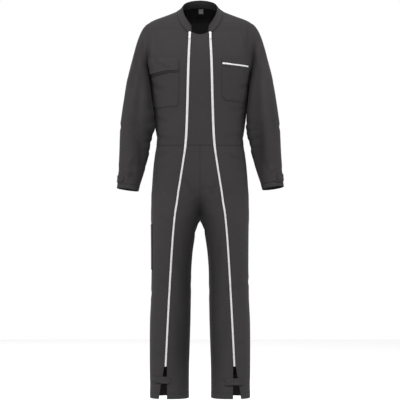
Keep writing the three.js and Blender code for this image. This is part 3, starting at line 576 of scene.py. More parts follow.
# How a piece is finished along an edge: how far the edge rolls in and over what width, how much
# the doubled cloth beside it stands up and how wide it is, how much painted shade darkens the
# edge, and how dark the painted line is where the doubled band ends
EDGES = {row.name: row for row in named_rows("name drop reach welt band dark line", [
    ("plain", 0, 1, 0, 1, 0, 0),
    ("seam", 0.7, 2.2, 0, 1, 0.2, 0),
    ("armhole", 0.4, 3, 0, 1, 0.1, 0),
    ("tucked", 1.5, 2.4, 0, 1, 0.1, 0),
    ("felled", 0.7, 2.2, 0.5, 8, 0.2, 0.06),
    ("folded", 0.4, 1.6, 0.4, 7, 0.3, 0.06),
    ("hem", 0.25, 1.2, 0.7, 20, 0.2, 0.32),
    ("leg_hem", 0.25, 1.2, 0.6, 24, 0.2, 0.16),
    ("sewn", 1.0, 1.8, 0.25, 7, 0.15, 0.06),
    ("sunk", 4.2, 15, 0, 7, 0, 0),
    ("soft", 2.6, 3.2, 0.2, 7, 0.05, 0.06),
    ("neck", 0.4, 2.2, 0, 7, 0.02, 0),
    ("free", 0.35, 1.2, 0.3, 7, 0.2, 0.06),
    ("strap", 0.8, 1.8, 0.2, 7, 0.06, 0.04),
])}
PLAIN_EDGES = dict.fromkeys(("top", "bottom", "start", "end"), "plain")
EDGE_STEPS = np.array([0, 0.7, 1.6, 2.8, 4.4, 6.4, 8.2, 10.2])
STEP = 4.6


def edge_relief(style, distance):
    return (-style.drop * np.exp(-(distance / style.reach) ** 2)
            + style.welt * (1 - smooth_step(style.band - 0.6, style.band + 1.2, distance)))


# Painted shade along an edge, and a painted dark line where its doubled band ends
def edge_shade(style, distance):
    line = style.line * np.exp(-((distance - style.band) / 1.2) ** 2)
    return style.dark * np.exp(-(distance / (1.3 * style.reach)) ** 2) + line


def run_length(points, axis):
    """Distance run along each row or column of a grid, from its first point."""
    steps = np.linalg.norm(np.diff(points, axis=axis), axis=-1)
    pad = [(0, 0), (0, 0)]
    pad[axis] = (1, 0)
    return np.cumsum(np.pad(steps, pad), axis=axis)


def length_along(line):
    """Distance run along a line of points."""
    return run_length(line[None], 1)[0]


def sampled(at, length, line):
    """Places on a line at given distances along it."""
    return np.stack([np.interp(at, length, line[:, k]) for k in range(line.shape[1])], -1)


def edge_distances(points, closed):
    down = run_length(points, 0)
    found = {"top": down, "bottom": down[-1:] - down}
    if not closed:
        along = run_length(points, 1)
        found |= {"start": along, "end": along[:, -1:] - along}
    return found


def fractions(widths, step=STEP, fine=EDGE_STEPS):
    """Places across each row: fine steps of fixed size at its ends and even ones between."""
    widths = np.maximum(np.asarray(widths, float), 0.01)[:, None]
    count = max(2, int(np.ceil((widths.max() - 2 * fine[-1]) / step)))
    near = fine[None] * np.minimum(1, 0.42 * widths / fine[-1]) / widths
    between = np.linspace(0, 1, count + 1)[None, 1:-1]
    middle = near[:, -1:] + (1 - 2 * near[:, -1:]) * between
    return np.hstack([near, middle, 1 - near[:, ::-1]])


def spaced(high, low, step, fine_high=False, fine_low=False):
    """Levels from a high one down to a low one, with fine steps at an edge."""
    start = high - EDGE_STEPS if fine_high else np.array([high])
    end = low + EDGE_STEPS[::-1] if fine_low else np.array([low])
    count = max(1, round((start[-1] - end[0]) / step))
    return np.concatenate([start[:-1], np.linspace(start[-1], end[0], count + 1), end[1:]])


def joined(*runs):
    return np.concatenate([runs[0]] + [run[1:] for run in runs[1:]])


def body_grid(side, levels, start, end, step=STEP):
    """A grid over the body between two turns at each level, spaced by length."""
    dense = np.linspace(0, 1, 49)
    turns = start[:, None] + (end - start)[:, None] * dense[None]
    length = run_length(body(side, levels[:, None], turns), 1)
    wanted = fractions(length[:, -1], step) * length[:, -1:]
    turns = np.array([np.interp(wanted[k], length[k], turns[k]) for k in range(len(levels))])
    return body_at(side, levels[:, None], turns)


# One collection of stitches for each part of the suit
stitches = {"upper": [], "sleeves": [], "legs": [], "pockets": []}
STITCH = SimpleNamespace(pitch=3.3, length=2.5, width=0.7, height=0.35, depth=0.15,
                         end_depth=0.05)


def stitch(group, path, normal):
    """A row of stitches on a path over the cloth."""
    keep = np.concatenate([[True], np.linalg.norm(np.diff(path, axis=0), axis=1) > 1e-3])
    path, normal = path[keep], normal[keep]
    if len(path) < 3:
        return
    length = length_along(path)
    count = int(length[-1] / STITCH.pitch)
    if count < 2:
        return
    at = (np.arange(count) + 0.5) * length[-1] / count
    half = STITCH.length / 2
    place = [sampled(at + ahead, length, path) for ahead in (-half, 0, half)]
    out = unit(sampled(at, length, normal))
    across = unit(np.cross(place[2] - place[0], out)) * STITCH.width / 2
    ring = [place[0] - out * STITCH.end_depth, place[2] - out * STITCH.end_depth,
            place[1] + across, place[1] - across,
            place[1] + out * STITCH.height, place[1] - out * STITCH.depth]
    stitches[group].append(np.stack(ring, 1))


def edge_path(points, normals, edge, distance):
    """The line on a grid that keeps a distance from one of its edges."""
    if edge in ("top", "bottom"):
        points, normals = points.transpose(1, 0, 2), normals.transpose(1, 0, 2)
    if edge in ("end", "bottom"):
        points, normals = points[:, ::-1], normals[:, ::-1]
    length = run_length(points, 1)
    rows = [k for k in range(len(points)) if length[k, -1] > 2.2 * distance]
    return tuple(np.array([sampled(distance, length[k], grid[k]) for k in rows]).reshape(-1, 3)
                 for grid in (points, normals))


def mesh_object(name, points, faces, materials, shade=None, inner_from=None):
    """A smooth mesh, in metres, from points in millimetres."""
    data = bpy.data.meshes.new(name)
    data.from_pydata((np.asarray(points) * MM).tolist(), [], faces)
    for material in materials:
        data.materials.append(material)
    # The painted shade of the cloth, which its material multiplies into the base colour
    if shade is not None:
        layer = data.attributes.new("shade", "FLOAT", "POINT")
        layer.data.foreach_set("value", np.asarray(shade, np.float32))
    if inner_from is not None:
        index = np.zeros(len(faces), np.int32)
        index[inner_from:] = 1
        data.polygons.foreach_set("material_index", index)
    data.polygons.foreach_set("use_smooth", np.ones(len(faces), bool))
    mesh = bmesh.new()
    mesh.from_mesh(data)
    bmesh.ops.remove_doubles(mesh, verts=mesh.verts, dist=2e-6)
    bmesh.ops.dissolve_degenerate(mesh, edges=mesh.edges, dist=1e-7)
    mesh.to_mesh(data)
    mesh.free()
    made = bpy.data.objects.new(name, data)
    bpy.context.scene.collection.objects.link(made)
    return made


def finish_of(points, normals, edges, closed, outer, group, pale_above):
    """How far the cloth lies off its grid, and its painted shade: darker in creases, in patches of
    shade and along its finished edges.
    """
    distances = edge_distances(points, closed)
    lift = np.full(points.shape[:2], float(outer))
    creases, hollows = ((SLEEVE_CREASES, SLEEVE_PAINTED_SHADE) if group == "sleeves"
                        else (BODY_CREASES, BODY_PAINTED_SHADE))
    shade = (1 - relief(creases, points, normals)[1]) * (1 - hollow_shade(hollows, points, normals))
    for edge, style in edges.items():
        lift += edge_relief(EDGES[style], distances[edge])
        dark = edge_shade(EDGES[style], distances[edge])
        # No painted shade along the start edge above the level pale_above
        if pale_above is not None and edge == "start":
            dark = dark * (1 - smooth_step(pale_above - 4, pale_above + 4, points[..., 2]))
        shade -= dark
    return lift, shade


def grid_faces(index, closed):
    """Faces over a grid of points, and the runs of points along its borders."""
    a, b = index[:-1], index[1:]
    if closed:
        quads = np.stack([a, b, np.roll(b, -1, 1), np.roll(a, -1, 1)], -1)
        borders = [index[0], index[-1][::-1]]
    else:
        quads = np.stack([a[:, :-1], b[:, :-1], b[:, 1:], a[:, 1:]], -1)
        borders = [np.concatenate([index[0, :-1], index[:-1, -1], index[-1, :0:-1],
                                   index[:0:-1, 0]])]
    return quads.reshape(-1, 4), borders


def shell(name, points, normals, edges, materials, outer=0.0, thick=SHELL, closed=False,
          lines=(), group="upper", roll=0.35, pale_above=None, inner_shade=None):
    """A thin closed shell over a grid, with finished edges and rows of stitches."""
    # shade is the painted shade, kept on the mesh as its shade attribute
    lift, shade = finish_of(points, normals, edges, closed, outer, group, pale_above)
    face = points + normals * lift[..., None]
    under = face - normals * thick
    count = shade.size
    quads, borders = grid_faces(np.arange(count).reshape(shade.shape), closed)
    everything = [face.reshape(-1, 3), under.reshape(-1, 3)]
    # The inside faces carry the same painted shade, scaled by inner_shade where it is given
    inside = shade if inner_shade is None else shade * inner_shade(points)
    shades = [shade.ravel(), inside.ravel()]
    rims = []
    base = 2 * count
    leaving = outward_of(points, closed).reshape(-1, 3)
    for border in borders:
        middle = (everything[0][border] + everything[1][border]) / 2 + leaving[border] * roll
        everything.append(middle)
        shades.append(shade.ravel()[border])
        ring = base + np.arange(len(border))
        after, ring_after = np.roll(border, -1), np.roll(ring, -1)
        rims.append(np.stack([border, after, ring_after, ring], -1))
        rims.append(np.stack([ring, ring_after, after + count, border + count], -1))
        base += len(border)
    front = [*quads.tolist(), *np.concatenate(rims).tolist()]
    back = (quads[:, ::-1] + count).tolist()
    everything = np.concatenate(everything)
    if enclosed(everything, front + back) < 0:
        front, back = ([quad[::-1] for quad in quads] for quads in (front, back))
    made = mesh_object(name, everything, front + back, materials,
                       shade=np.concatenate(shades), inner_from=len(front))
    for edge, *places in lines:
        for distance in places:
            stitch(group, *edge_path(face, normals, edge, distance))
    return made, face


def outward_of(points, closed):
    """Directions that leave a grid at its edges."""
    out = np.zeros(points.shape)
    out[0] += points[0] - points[1]
    out[-1] += points[-1] - points[-2]
    if not closed:
        out[:, 0] += points[:, 0] - points[:, 1]
        out[:, -1] += points[:, -1] - points[:, -2]
    return out / np.maximum(np.linalg.norm(out, axis=-1, keepdims=True), 1e-6)


def enclosed(points, quads):
    corners = points[np.array(quads)]
    a, b, c, d = (corners[:, k] for k in range(4))
    return float((a * (np.cross(b, c) + np.cross(c, d))).sum())


def dressed(made, body, node=None):
    """Puts a piece on its body and in place of its CAD node."""
    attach(made, body)
    if node:
        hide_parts(node)


def cloth_piece(node, points, normals, edges, rests_on=(), **options):
    made, face = shell(f"cloth_{node}", points, normals, edges, CLOTH, **options)
    dressed(made, "suit", node)
    return made


# Materials
def shader(name, colour, roughness, sheen=0.0, specular=0.3):
    """A material with its nodes, ready for variation and bump."""
    material = bpy.data.materials.new(name)
    material.use_nodes = True
    nodes, links = material.node_tree.nodes, material.node_tree.links
    principled = nodes["Principled BSDF"]
    for name, value in (("Roughness", roughness), ("Specular IOR Level", specular),
                        ("Sheen Weight", sheen), ("Sheen Roughness", 0.5),
                        ("Base Color", (*colour, 1))):
        principled.inputs[name].default_value = value
    place = nodes.new("ShaderNodeTexCoord")
    return SimpleNamespace(material=material, nodes=nodes, links=links, principled=principled,
                           place=place.outputs["Object"])


def added(made, kind, links, **values):
    """A new node with its links and values, low lines in their names standing for spaces."""
    node = made.nodes.new(kind)
    for name, value in values.items():
        node.inputs[name.replace("_", " ")].default_value = value
    for name, source in links.items():
        made.links.new(source, node.inputs[name])
    return node


def noise(made, scale, detail=2.0):
    return added(made, "ShaderNodeTexNoise", {"Vector": made.place},
                 Scale=scale, Detail=detail).outputs["Fac"]


def ranged(made, source, low, high, source_low=0.3, source_high=0.7):
    return added(made, "ShaderNodeMapRange", {"Value": source}, From_Min=source_low,
                 From_Max=source_high, To_Min=low, To_Max=high).outputs["Result"]


def arithmetic(made, operation, first, second):
    node = made.nodes.new("ShaderNodeMath")
    node.operation = operation
    for socket, value in zip(node.inputs, (first, second)):
        made.links.new(value, socket)
    return node.outputs["Value"]


def tinted(made, colour, factor):
    """The colour scaled by a varying factor."""
    node = made.nodes.new("ShaderNodeMix")
    node.data_type = "RGBA"
    node.inputs["A"].default_value = (0, 0, 0, 1)
    node.inputs["B"].default_value = (*colour, 1)
    node.clamp_factor = False
    made.links.new(factor, node.inputs["Factor"])
    made.links.new(node.outputs["Result"], made.principled.inputs["Base Color"])


def bumped(made, height, strength, distance):
    node = added(made, "ShaderNodeBump", {"Height": height}, Strength=strength,
                 Distance=distance)
    made.links.new(node.outputs["Normal"], made.principled.inputs["Normal"])


def twill(made, scale):
    """Fine diagonal ribs of the weave, slightly uneven."""
    node = added(made, "ShaderNodeTexWave", {"Vector": made.place}, Scale=scale,
                 Distortion=1.2, Detail=1)
    node.bands_direction = "DIAGONAL"
    return node.outputs["Fac"]


def cloth_material(name, colour, depth=1.0):
    made = shader(name, colour, 0.9, sheen=0.02, specular=0.06)
    # The shade attribute is painted shade: it darkens the colour in creases, in patches of shade
    # and along edges, and lightens it a little on crease brows and low inside the back
    seam = made.nodes.new("ShaderNodeAttribute")
    seam.attribute_name = "shade"
    broad = ranged(made, noise(made, 3.5), 0.95, 1.05)
    fine = ranged(made, noise(made, 60, 4), 0.97, 1.03)
    weave = ranged(made, twill(made, 330), 0.97, 1.03, 0, 1)
    factor = arithmetic(made, "MULTIPLY", arithmetic(made, "MULTIPLY", broad, fine), weave)
    tinted(made, colour, arithmetic(made, "MULTIPLY", factor, seam.outputs["Fac"]))
    made.links.new(ranged(made, noise(made, 25), 0.84, 0.95), made.principled.inputs["Roughness"])
    bumped(made, arithmetic(made, "ADD", twill(made, 330), noise(made, 420, 1)),
           0.25 * depth, 0.0003)
    return made.material


def plastic_material(name, colour, roughness, ribs=None):
    made = shader(name, colour, roughness, specular=0.5)
    tinted(made, colour, ranged(made, noise(made, 40, 3), 0.96, 1.03))
    made.links.new(ranged(made, noise(made, 90), roughness - 0.06, roughness + 0.08),
                   made.principled.inputs["Roughness"])
    height = twill(made, ribs) if ribs else noise(made, 300, 2)
    bumped(made, height, 0.2, 0.0002)
    return made.material


CLOTH_COLOUR = (0.0322, 0.0301, 0.0309)
# The inside faces use a darker copy of the same cloth: painted shade for the shade inside the suit
SHADED_INSIDE_COLOUR = (0.0165, 0.0152, 0.0156)
OUTSIDE = cloth_material("charcoal_twill", CLOTH_COLOUR)
SHADED_INSIDE = cloth_material("charcoal_twill_inside_painted_shade", SHADED_INSIDE_COLOUR)
CLOTH = (OUTSIDE, SHADED_INSIDE)
THREAD = cloth_material("charcoal_thread", (0.045, 0.042, 0.043), 0.4)
TAPE = plastic_material("white_zip_tape", (0.68, 0.68, 0.675), 0.75, ribs=500)
TEETH = plastic_material("white_zip_teeth", (0.7, 0.7, 0.695), 0.45)
ENAMEL = plastic_material("white_slider", (0.68, 0.68, 0.675), 0.35)
LABEL_CLOTH = cloth_material("black_label", (0.012, 0.012, 0.013))
LABEL_PATCH = cloth_material("grey_label_patch", (0.3, 0.3, 0.3))

# Body
armhole_levels = ARMHOLE_MIDDLE + ARMHOLE_HALF * np.cos(np.linspace(0, math.pi, 57))
upper_levels = joined(spaced(NECK_SIDE, SHOULDER_POINT, 2), armhole_levels,
                      spaced(UNDERARM, WAIST + HALF_SEAM, STEP, fine_low=True))
leg_levels = spaced(WAIST - HALF_SEAM, HEM, STEP, fine_high=True, fine_low=True)


def side_turn(levels, behind):
    shoulder = (levels > SHOULDER_POINT) | (levels < UNDERARM)
    turn = np.where(shoulder, QUARTER, armhole_turn(levels, behind))
    return turn + (SEAM_TURN if behind else -SEAM_TURN)


def zip_gap(levels):
    """Half width of a zip between the folded edges that cover its tapes."""
    return ZIP_HALF + SEAM - mix(ZIP_COVER_LEG, ZIP_COVER_TOP,
                                 smooth_step(WAIST - 60, WAIST + 40, levels))


def zip_edge(levels, outward):
    """Turn of the cloth's edge beside a zip, and beside the slit below it."""
    x = zip_line(levels).x + outward * zip_gap(levels)
    slit = slit_edges(levels).outer if outward > 0 else slit_edges(levels).inner
    return turn_at(levels, np.where(levels < ZIP_END, slit, x))


def middle_turn(levels):
    return np.maximum(turn_at(levels, -SEAM_OVERLAP), -QUARTER + SEAM_TURN)


def bib():
    levels = joined(spaced(ZIP_TOP, ZIP_TOP - 40, 3, fine_high=True),
                    spaced(ZIP_TOP - 40, WAIST + HALF_SEAM, STEP, fine_low=True))
    half = turn_at(levels, zip_line(levels).x - zip_gap(levels))[:, None]
    part = 2 * fractions(2 * zip_line(levels).x) - 1
    dip = NECKLINE_DIP * (1 - part ** 2)
    fade = smooth_step(ZIP_TOP - 10 * NECKLINE_DIP, ZIP_TOP, levels[:, None])
    points, normals = body_at(LEFT, levels[:, None] - dip * fade, part * half)
    cloth_piece("bib", points, normals,
                {"top": "folded", "bottom": "seam", "start": "folded", "end": "folded"},
                lines=[("top", 5), ("start", 2, 6), ("end", 2, 6)])


def chest(side, word):
    levels = upper_levels
    x = np.where(levels > ZIP_TOP, neckline(levels).x, zip_line(levels).x + zip_gap(levels))
    start = np.where(levels >= NECK_SIDE, side_turn(levels, False), turn_at(levels, x))
    points, normals = body_grid(side, levels, start, side_turn(levels, False))
    cloth_piece(f"chest_{word}", points, normals,
                {"bottom": "seam", "start": "folded", "end": "armhole"}, pale_above=ZIP_TOP + 4,
                lines=[("bottom", 2), ("start", 2, 6), ("end", 2, 7)])


def painted_neck_shade(points):
    """Painted shade and light inside the back of the neck: darker above a line across it, lighter
    below.
    """
    return 1.25 - 0.4 * smooth_step(NECK_SHADE_LEVEL - 1, NECK_SHADE_LEVEL + 1, points[..., 2])


def upper_back():
    halves = [body_grid(side, upper_levels, side_turn(upper_levels, True),
                        np.full(len(upper_levels), math.pi)) for side in (RIGHT, LEFT)]
    points, normals = (np.concatenate([right, left[:, -2::-1]], axis=1)
                       for right, left in zip(*halves))
    cloth_piece("back_upper", points, normals,
                {"top": "neck", "bottom": "seam", "start": "armhole", "end": "armhole"},
                lines=[("bottom", 2)], inner_shade=painted_neck_shade)


def legs(side, word):
    levels = leg_levels
    quarter = np.full(len(levels), QUARTER)
    for part, start, end, edges, lines in (
            ("inner", middle_turn(levels), zip_edge(levels, -1),
             {"start": "felled", "end": "folded"}, [("start", 2, 7), ("end", 2, 6)]),
            ("outer", zip_edge(levels, 1), quarter - SEAM_TURN,
             {"start": "folded", "end": "felled"}, [("start", 2, 6), ("end", 2, 7)]),
            ("back", quarter + SEAM_TURN, math.pi - middle_turn(levels),
             {"start": "seam", "end": "felled"}, [("end", 2, 7)])):
        points, normals = body_grid(side, levels, start, end)
        cloth_piece(f"leg_{part}_{word}", points, normals,
                    {"top": "seam", "bottom": "leg_hem", **edges},
                    lines=[("top", 2, 7), ("bottom", 24), *lines], group="legs")


SLEEVE_ROUNDS = 92
CAP_TUCK = 4
CAP_TUCK_DEPTH = 0.7


def tuck_row(side, turns):
    """The edge of a sleeve, which lies behind the cloth round its armhole."""
    level = ARMHOLE_MIDDLE + (ARMHOLE_HALF + CAP_TUCK) * np.cos(turns)
    at = armhole_turn(level, turns > math.pi, CAP_TUCK)
    return body(side, level, at) - faced(body, side, level, at, 1, 0.01) * CAP_TUCK_DEPTH


def sleeve_piece(side, word):
    turns = np.linspace(0, 2 * math.pi, SLEEVE_ROUNDS, endpoint=False)[None]
    cap = np.concatenate([[0.012, 0.03, 0.055], np.linspace(0.085, 1, 26)])[:, None]
    cap = np.maximum(cap, SEAM / cap_reach(turns))
    cap = np.concatenate([0 * turns, 0 * turns, cap])
    tube = 1 + (spaced(CAP_END, CUFF, STEP, fine_low=True)[1:] - CAP_END) / (CUFF - CAP_END)
    places = np.concatenate([cap, tube[:, None] + 0 * turns])
    points, normals = sleeve_at(side, places, turns)
    points[0] = tuck_row(side, turns[0])
    cloth_piece(f"sleeve_{word}", points, normals, {"top": "tucked", "bottom": "hem"}, closed=True,
                lines=[("bottom", 2, 20)], group="sleeves")


def collar():
    levels = np.linspace(ZIP_TOP, NECK_SIDE, 30)
    parts = np.linspace(0, 1, 26)[1:]

    def half(side):
        front_seam = body(side, levels, turn_at(levels, neckline(levels).x))
        front = collar_front(levels)
        front_edge = np.stack([side * front.x, front.y, front.z], -1)
        back_seam = body(side, np.full(len(parts), float(NECK_SIDE)), QUARTER * (1 + parts))
        back = collar_back(parts)
        back_edge = np.stack([side * back.x, back.y, back.z], -1)
        ends = [np.linspace(COLLAR_END.x, NECK_FRONT, 4)[:-1], np.linspace(0, 1, 4)[:-1]]
        end_seam = body(side, np.full(3, ZIP_TOP), turn_at(np.full(3, ZIP_TOP), ends[0]))
        corner = np.array(COLLAR_END.edge) * (side, 1, 1)
        end_edge = corner + (front_edge[0] - corner) * ends[1][:, None]
        return (np.concatenate([end_seam, front_seam, back_seam]),
                np.concatenate([end_edge, front_edge, back_edge]))

    (seam, edge), (left_seam, left_edge) = half(RIGHT), half(LEFT)
    seam = np.concatenate([seam, left_seam[-2::-1]])
    edge = np.concatenate([edge, left_edge[-2::-1]])
    seam, edge = evened(seam, edge, 2.6)
    along = np.gradient(seam + edge, axis=0)
    up = edge - seam
    normal = unit(np.cross(up, along))
    rise = np.concatenate([[COLLAR_TUCK], fractions(np.full(len(seam), 30.0), 3.4)[0][1:]])
    bulge = np.where(rise < 0, COLLAR_TUCK_DEPTH, COLLAR_BULGE * np.sin(math.pi * rise))
    points = (seam[:, None] + up[:, None] * rise[None, :, None]
              + normal[:, None] * bulge[None, :, None])
    normals = np.broadcast_to(normal[:, None], points.shape)
    cloth_piece("collar", points, normals,
                {"end": "free", "top": "free", "bottom": "free"},
                outer=COLLAR_THICK, thick=COLLAR_THICK,
                lines=[("start", 4), ("end", 3), ("top", 3), ("bottom", 3)])


def evened(seam, edge, step):
    """Two lines sampled again at even lengths of their middle line, and smoothed."""
    middle = (seam + edge) / 2
    length = length_along(middle)
    fine = np.concatenate([EDGE_STEPS, np.arange(12, length[-1] - 12, step),
                           length[-1] - EDGE_STEPS[::-1]])
    lines = []
    for line in (seam, edge):
        even = sampled(fine, length, line)
        for _ in range(3):
            even[1:-1] = (even[:-2] + 2 * even[1:-1] + even[2:]) / 4
        lines.append(even)
    return lines


bib()
upper_back()
collar()
for side, word in ((RIGHT, "right"), (LEFT, "left")):
    chest(side, word)
    legs(side, word)
    sleeve_piece(side, word)

# Pockets and straps
ROUNDING = 0.5
POCKET_LIFT = SEAM + ROUNDING
FLAP_LIFT = POCKET_LIFT + TRIM + SEAM + ROUNDING
RIGHT_POCKET = SimpleNamespace(top=-206, bottom=-389, inner=85.6, outer_top=199,
                               outer_bottom=186, slope=-0.07, radius=12)
LEFT_POCKET = SimpleNamespace(top=-197, bottom=-366, inner=88.5, outer_top=199,
                              outer_bottom=186, slope=-0.07, radius=24)
FLAP = SimpleNamespace(top=-190, bottom=-245, inner=84.6, bend=130, outer=199, outer_drop=12)
POCKET_ZIP = SimpleNamespace(inner=90, outer=193, level=-217, slope=-0.085)
TOOL_POCKET = SimpleNamespace(top=-869, bottom=-1054, front_turn=1.12, back_turn=2.05)
LEG_TABS = {LEFT: SimpleNamespace(level=-1508, inner=97, outer=174),
            RIGHT: SimpleNamespace(level=-1501, inner=119, outer=176)}
TAB_HALF = 14
CUFF_TAB = SimpleNamespace(level=-687, front=1.12, back=-1.15, half=13.5)
WRIST_RADIUS = 47
CUFF_TAB_LIFT = POCKET_LIFT + 0.3
LABEL = SimpleNamespace(top=6, bottom=-24, half=21, thick=0.8)


def patch_points(side, level, inner, outer, slope, part):
    """Points of a piece sewn on the front, its rows given by level and reach."""
    start = turn_at(level, inner)
    end = turn_at(level + slope * (outer - inner), outer)
    lowered = level[:, None] + (slope * (outer - inner))[:, None] * part
    return body_at(side, lowered, mix(start[:, None], end[:, None], part))


def chest_pocket(side, pocket, node, lines):
    depth = pocket.top - pocket.bottom
    low = np.array([0, 0.12, 0.45, 0.75, 1.0]) * pocket.radius
    distance = np.concatenate([spaced(depth, pocket.radius, STEP, fine_high=True), low[-2::-1]])
    reach = np.clip(pocket.radius - distance, 0, None)
    inset = pocket.radius - np.sqrt(pocket.radius ** 2 - reach ** 2)
    outer = mix(pocket.outer_bottom, pocket.outer_top, distance / depth)
    slope = pocket.slope * (1 - distance / depth)
    part = fractions(outer - pocket.inner - 2 * inset)
    points, normals = patch_points(side, pocket.bottom + distance, pocket.inner + inset,
                                   outer - inset, slope, part)
    cloth_piece(node, points, normals,
                {"top": "sewn", "bottom": "sewn", "start": "sewn", "end": "sewn"},
                outer=POCKET_LIFT + TRIM, thick=TRIM, lines=lines, group="pockets",
                rests_on=["cloth_chest_right" if side == RIGHT else "cloth_chest_left"])


def flap():
    turns = turn_at(np.full(3, float(FLAP.bottom)), np.array([FLAP.inner, FLAP.bend, FLAP.outer]))
    part = fractions(np.array([118.0]))[0]
    turn = mix(turns[0], turns[2], part)[:, None]
    outward = np.maximum(0, (turn - turns[1]) / (turns[2] - turns[1]))
    bottom = FLAP.bottom - FLAP.outer_drop * outward
    rise = fractions(np.full(len(turn), 58.0))
    points, normals = body_at(RIGHT, mix(FLAP.top, bottom, rise), turn + 0 * rise)
    points = points + normals * (3.0 * smooth_step(0.45, 1, rise))[..., None]
    cloth_piece("pocket_flap", points, normals,
                {"start": "sunk", "end": "free", "top": "soft", "bottom": "free"},
                outer=FLAP_LIFT + TRIM, thick=TRIM, group="pockets",
                lines=[("start", 2, 7), ("end", 2, 7), ("top", 2, 7), ("bottom", 2, 7)],
                rests_on=["cloth_pocket_right"])


def tool_pocket():
    pocket = TOOL_POCKET
    levels = spaced(pocket.top, pocket.bottom, STEP, fine_high=True, fine_low=True)
    ones = np.ones(len(levels))
    points, normals = body_grid(RIGHT, levels, pocket.front_turn * ones, pocket.back_turn * ones)
    cloth_piece("tool_pocket", points, normals,
                {"top": "free", "bottom": "sewn", "start": "sewn", "end": "sewn"},
                outer=POCKET_LIFT + 2, thick=2, group="pockets",
                lines=[("top", 18), ("bottom", 2, 7), ("start", 2, 7), ("end", 2, 7)],
                rests_on=["cloth_leg_outer_right", "cloth_leg_back_right"])


def strap_outline(length, half):
    """Places along a strap with a rounded free end, and its half width there."""
    rounded = half * np.array([0, 0.04, 0.12, 0.25, 0.42, 0.62, 0.82, 1])
    places = np.concatenate([rounded, spaced(length, half, 4, fine_high=True)[-2::-1]])
    reach = np.maximum(0, half - places)
    return places, np.maximum(np.sqrt(half ** 2 - reach ** 2), 0.3 * half)


STRAP_EDGES = {"top": "strap", "bottom": "strap", "start": "strap", "end": "free"}
STRAP_LINES = [("top", 2.5), ("bottom", 2.5, 14), ("start", 2.5), ("end", 2.5)]


def leg_tab(side, word):
    tab = LEG_TABS[side]
    places, width = strap_outline(tab.outer - tab.inner, TAB_HALF)
    across = 1 - 2 * fractions(2 * width, 3)
    height = tab.level + across * width[:, None]
    points, normals = body_at(side, height, turn_at(height, tab.inner + places[:, None]))
    cloth_piece(f"leg_tab_{word}", points, normals, STRAP_EDGES, outer=POCKET_LIFT + TRIM,
                thick=TRIM, group="legs", lines=STRAP_LINES,
                rests_on=[f"cloth_leg_inner_{word}", f"cloth_leg_outer_{word}"])


def cuff_tab(side, word):
    length = (CUFF_TAB.front - CUFF_TAB.back) * WRIST_RADIUS
    places, width = strap_outline(length, CUFF_TAB.half)
    across = 1 - 2 * fractions(2 * width, 3)
    place = 1 + (CUFF_TAB.level + across * width[:, None] - CAP_END) / (CUFF - CAP_END)
    turn = CUFF_TAB.front - places[:, None] / WRIST_RADIUS
    points, normals = sleeve_at(side, place, turn + 0 * place)
    cloth_piece(f"cuff_tab_{word}", points, normals, STRAP_EDGES, outer=CUFF_TAB_LIFT + 2,
                thick=2, group="sleeves", lines=STRAP_LINES,
                rests_on=[f"cloth_sleeve_{word}"])


def label_grid(top, bottom, low_x, high_x):
    levels = np.linspace(top, bottom, 12)[:, None]
    x = np.linspace(low_x, high_x, 16)[None] + 0 * levels
    return body_at(LEFT, levels + 0 * x, math.pi - turn_at(levels + 0 * x, x))


def label():
    """The neck label and the pale patch on it, inside the back."""
    lift = 2 + POCKET_LIFT + LABEL.thick
    for name, material, grid, outer, thick, node, under in (
            ("neck_label_cloth", LABEL_CLOTH, (LABEL.top, LABEL.bottom, -LABEL.half, LABEL.half),
             lift, LABEL.thick, "neck_label", "cloth_back_upper"),
            ("neck_label_patch", LABEL_PATCH, (LABEL.top - 3, LABEL.top - 19, -5, 13),
             lift + 0.5, 0.4, None, "neck_label_cloth")):
        points, normals = label_grid(*grid)
        made, face = shell(name, points, -normals, PLAIN_EDGES, [material] * 2, outer=outer,
                           thick=thick)
        dressed(made, "suit", node)


chest_pocket(RIGHT, RIGHT_POCKET, "pocket_right",
             [("bottom", 2, 7), ("start", 2, 7), ("end", 2, 7)])
chest_pocket(LEFT, LEFT_POCKET, "pocket_left",
             [("top", 2, 7), ("bottom", 2, 7), ("start", 2, 7), ("end", 2, 7)])
flap()
tool_pocket()
label()
for side, word in ((RIGHT, "right"), (LEFT, "left")):
    leg_tab(side, word)
    cuff_tab(side, word)

# Zips
ZIP_LIFT = -1.1
POCKET_TEETH = 0.8
TOOTH = SimpleNamespace(pitch=1.3, along=0.42, across=1.55, offset=1.0, height=1.5)


def teeth(path, normal, lift, size):
    """Interlocked teeth along a zip's middle line, in turn from its two tapes."""
    length = length_along(path)
    count = int(length[-1] / TOOTH.pitch)
    at = (np.arange(count) + 0.5) * length[-1] / count
    before, middle, after = (sampled(at + ahead, length, path) for ahead in (-1, 0, 1))
    out = unit(sampled(at, length, normal))
    along = unit(after - before)
    across = np.cross(along, out)
    own = np.where(np.arange(count) % 2, 1, -1)[:, None] * TOOTH.offset * size
    corners = []
    for height, narrow in ((0, 1.0), (0.7, 1.0), (1.0, 0.7)):
        for x, y in ((-1, -1), (1, -1), (1, 1), (-1, 1)):
            corners.append(middle + across * (own + x * narrow * TOOTH.across * size)
                           + along * y * narrow * TOOTH.along
                           + out * (lift + height * TOOTH.height))
    points = np.stack(corners, 1).reshape(-1, 3)
    walls = [(4 * r + k, 4 * r + (k + 1) % 4, 4 * r + 4 + (k + 1) % 4, 4 * r + 4 + k)
             for r in (0, 1) for k in range(4)]
    block = [(3, 2, 1, 0), (8, 9, 10, 11), *walls]
    faces = (np.array(block)[None] + 12 * np.arange(count)[:, None, None]).reshape(-1, 4)
    if enclosed(points, faces) < 0:
        faces = faces[:, ::-1]
    return points, faces.tolist()


def flat_shaded(made):
    made.data.polygons.foreach_set("use_smooth", np.zeros(len(made.data.polygons), bool))
    return made


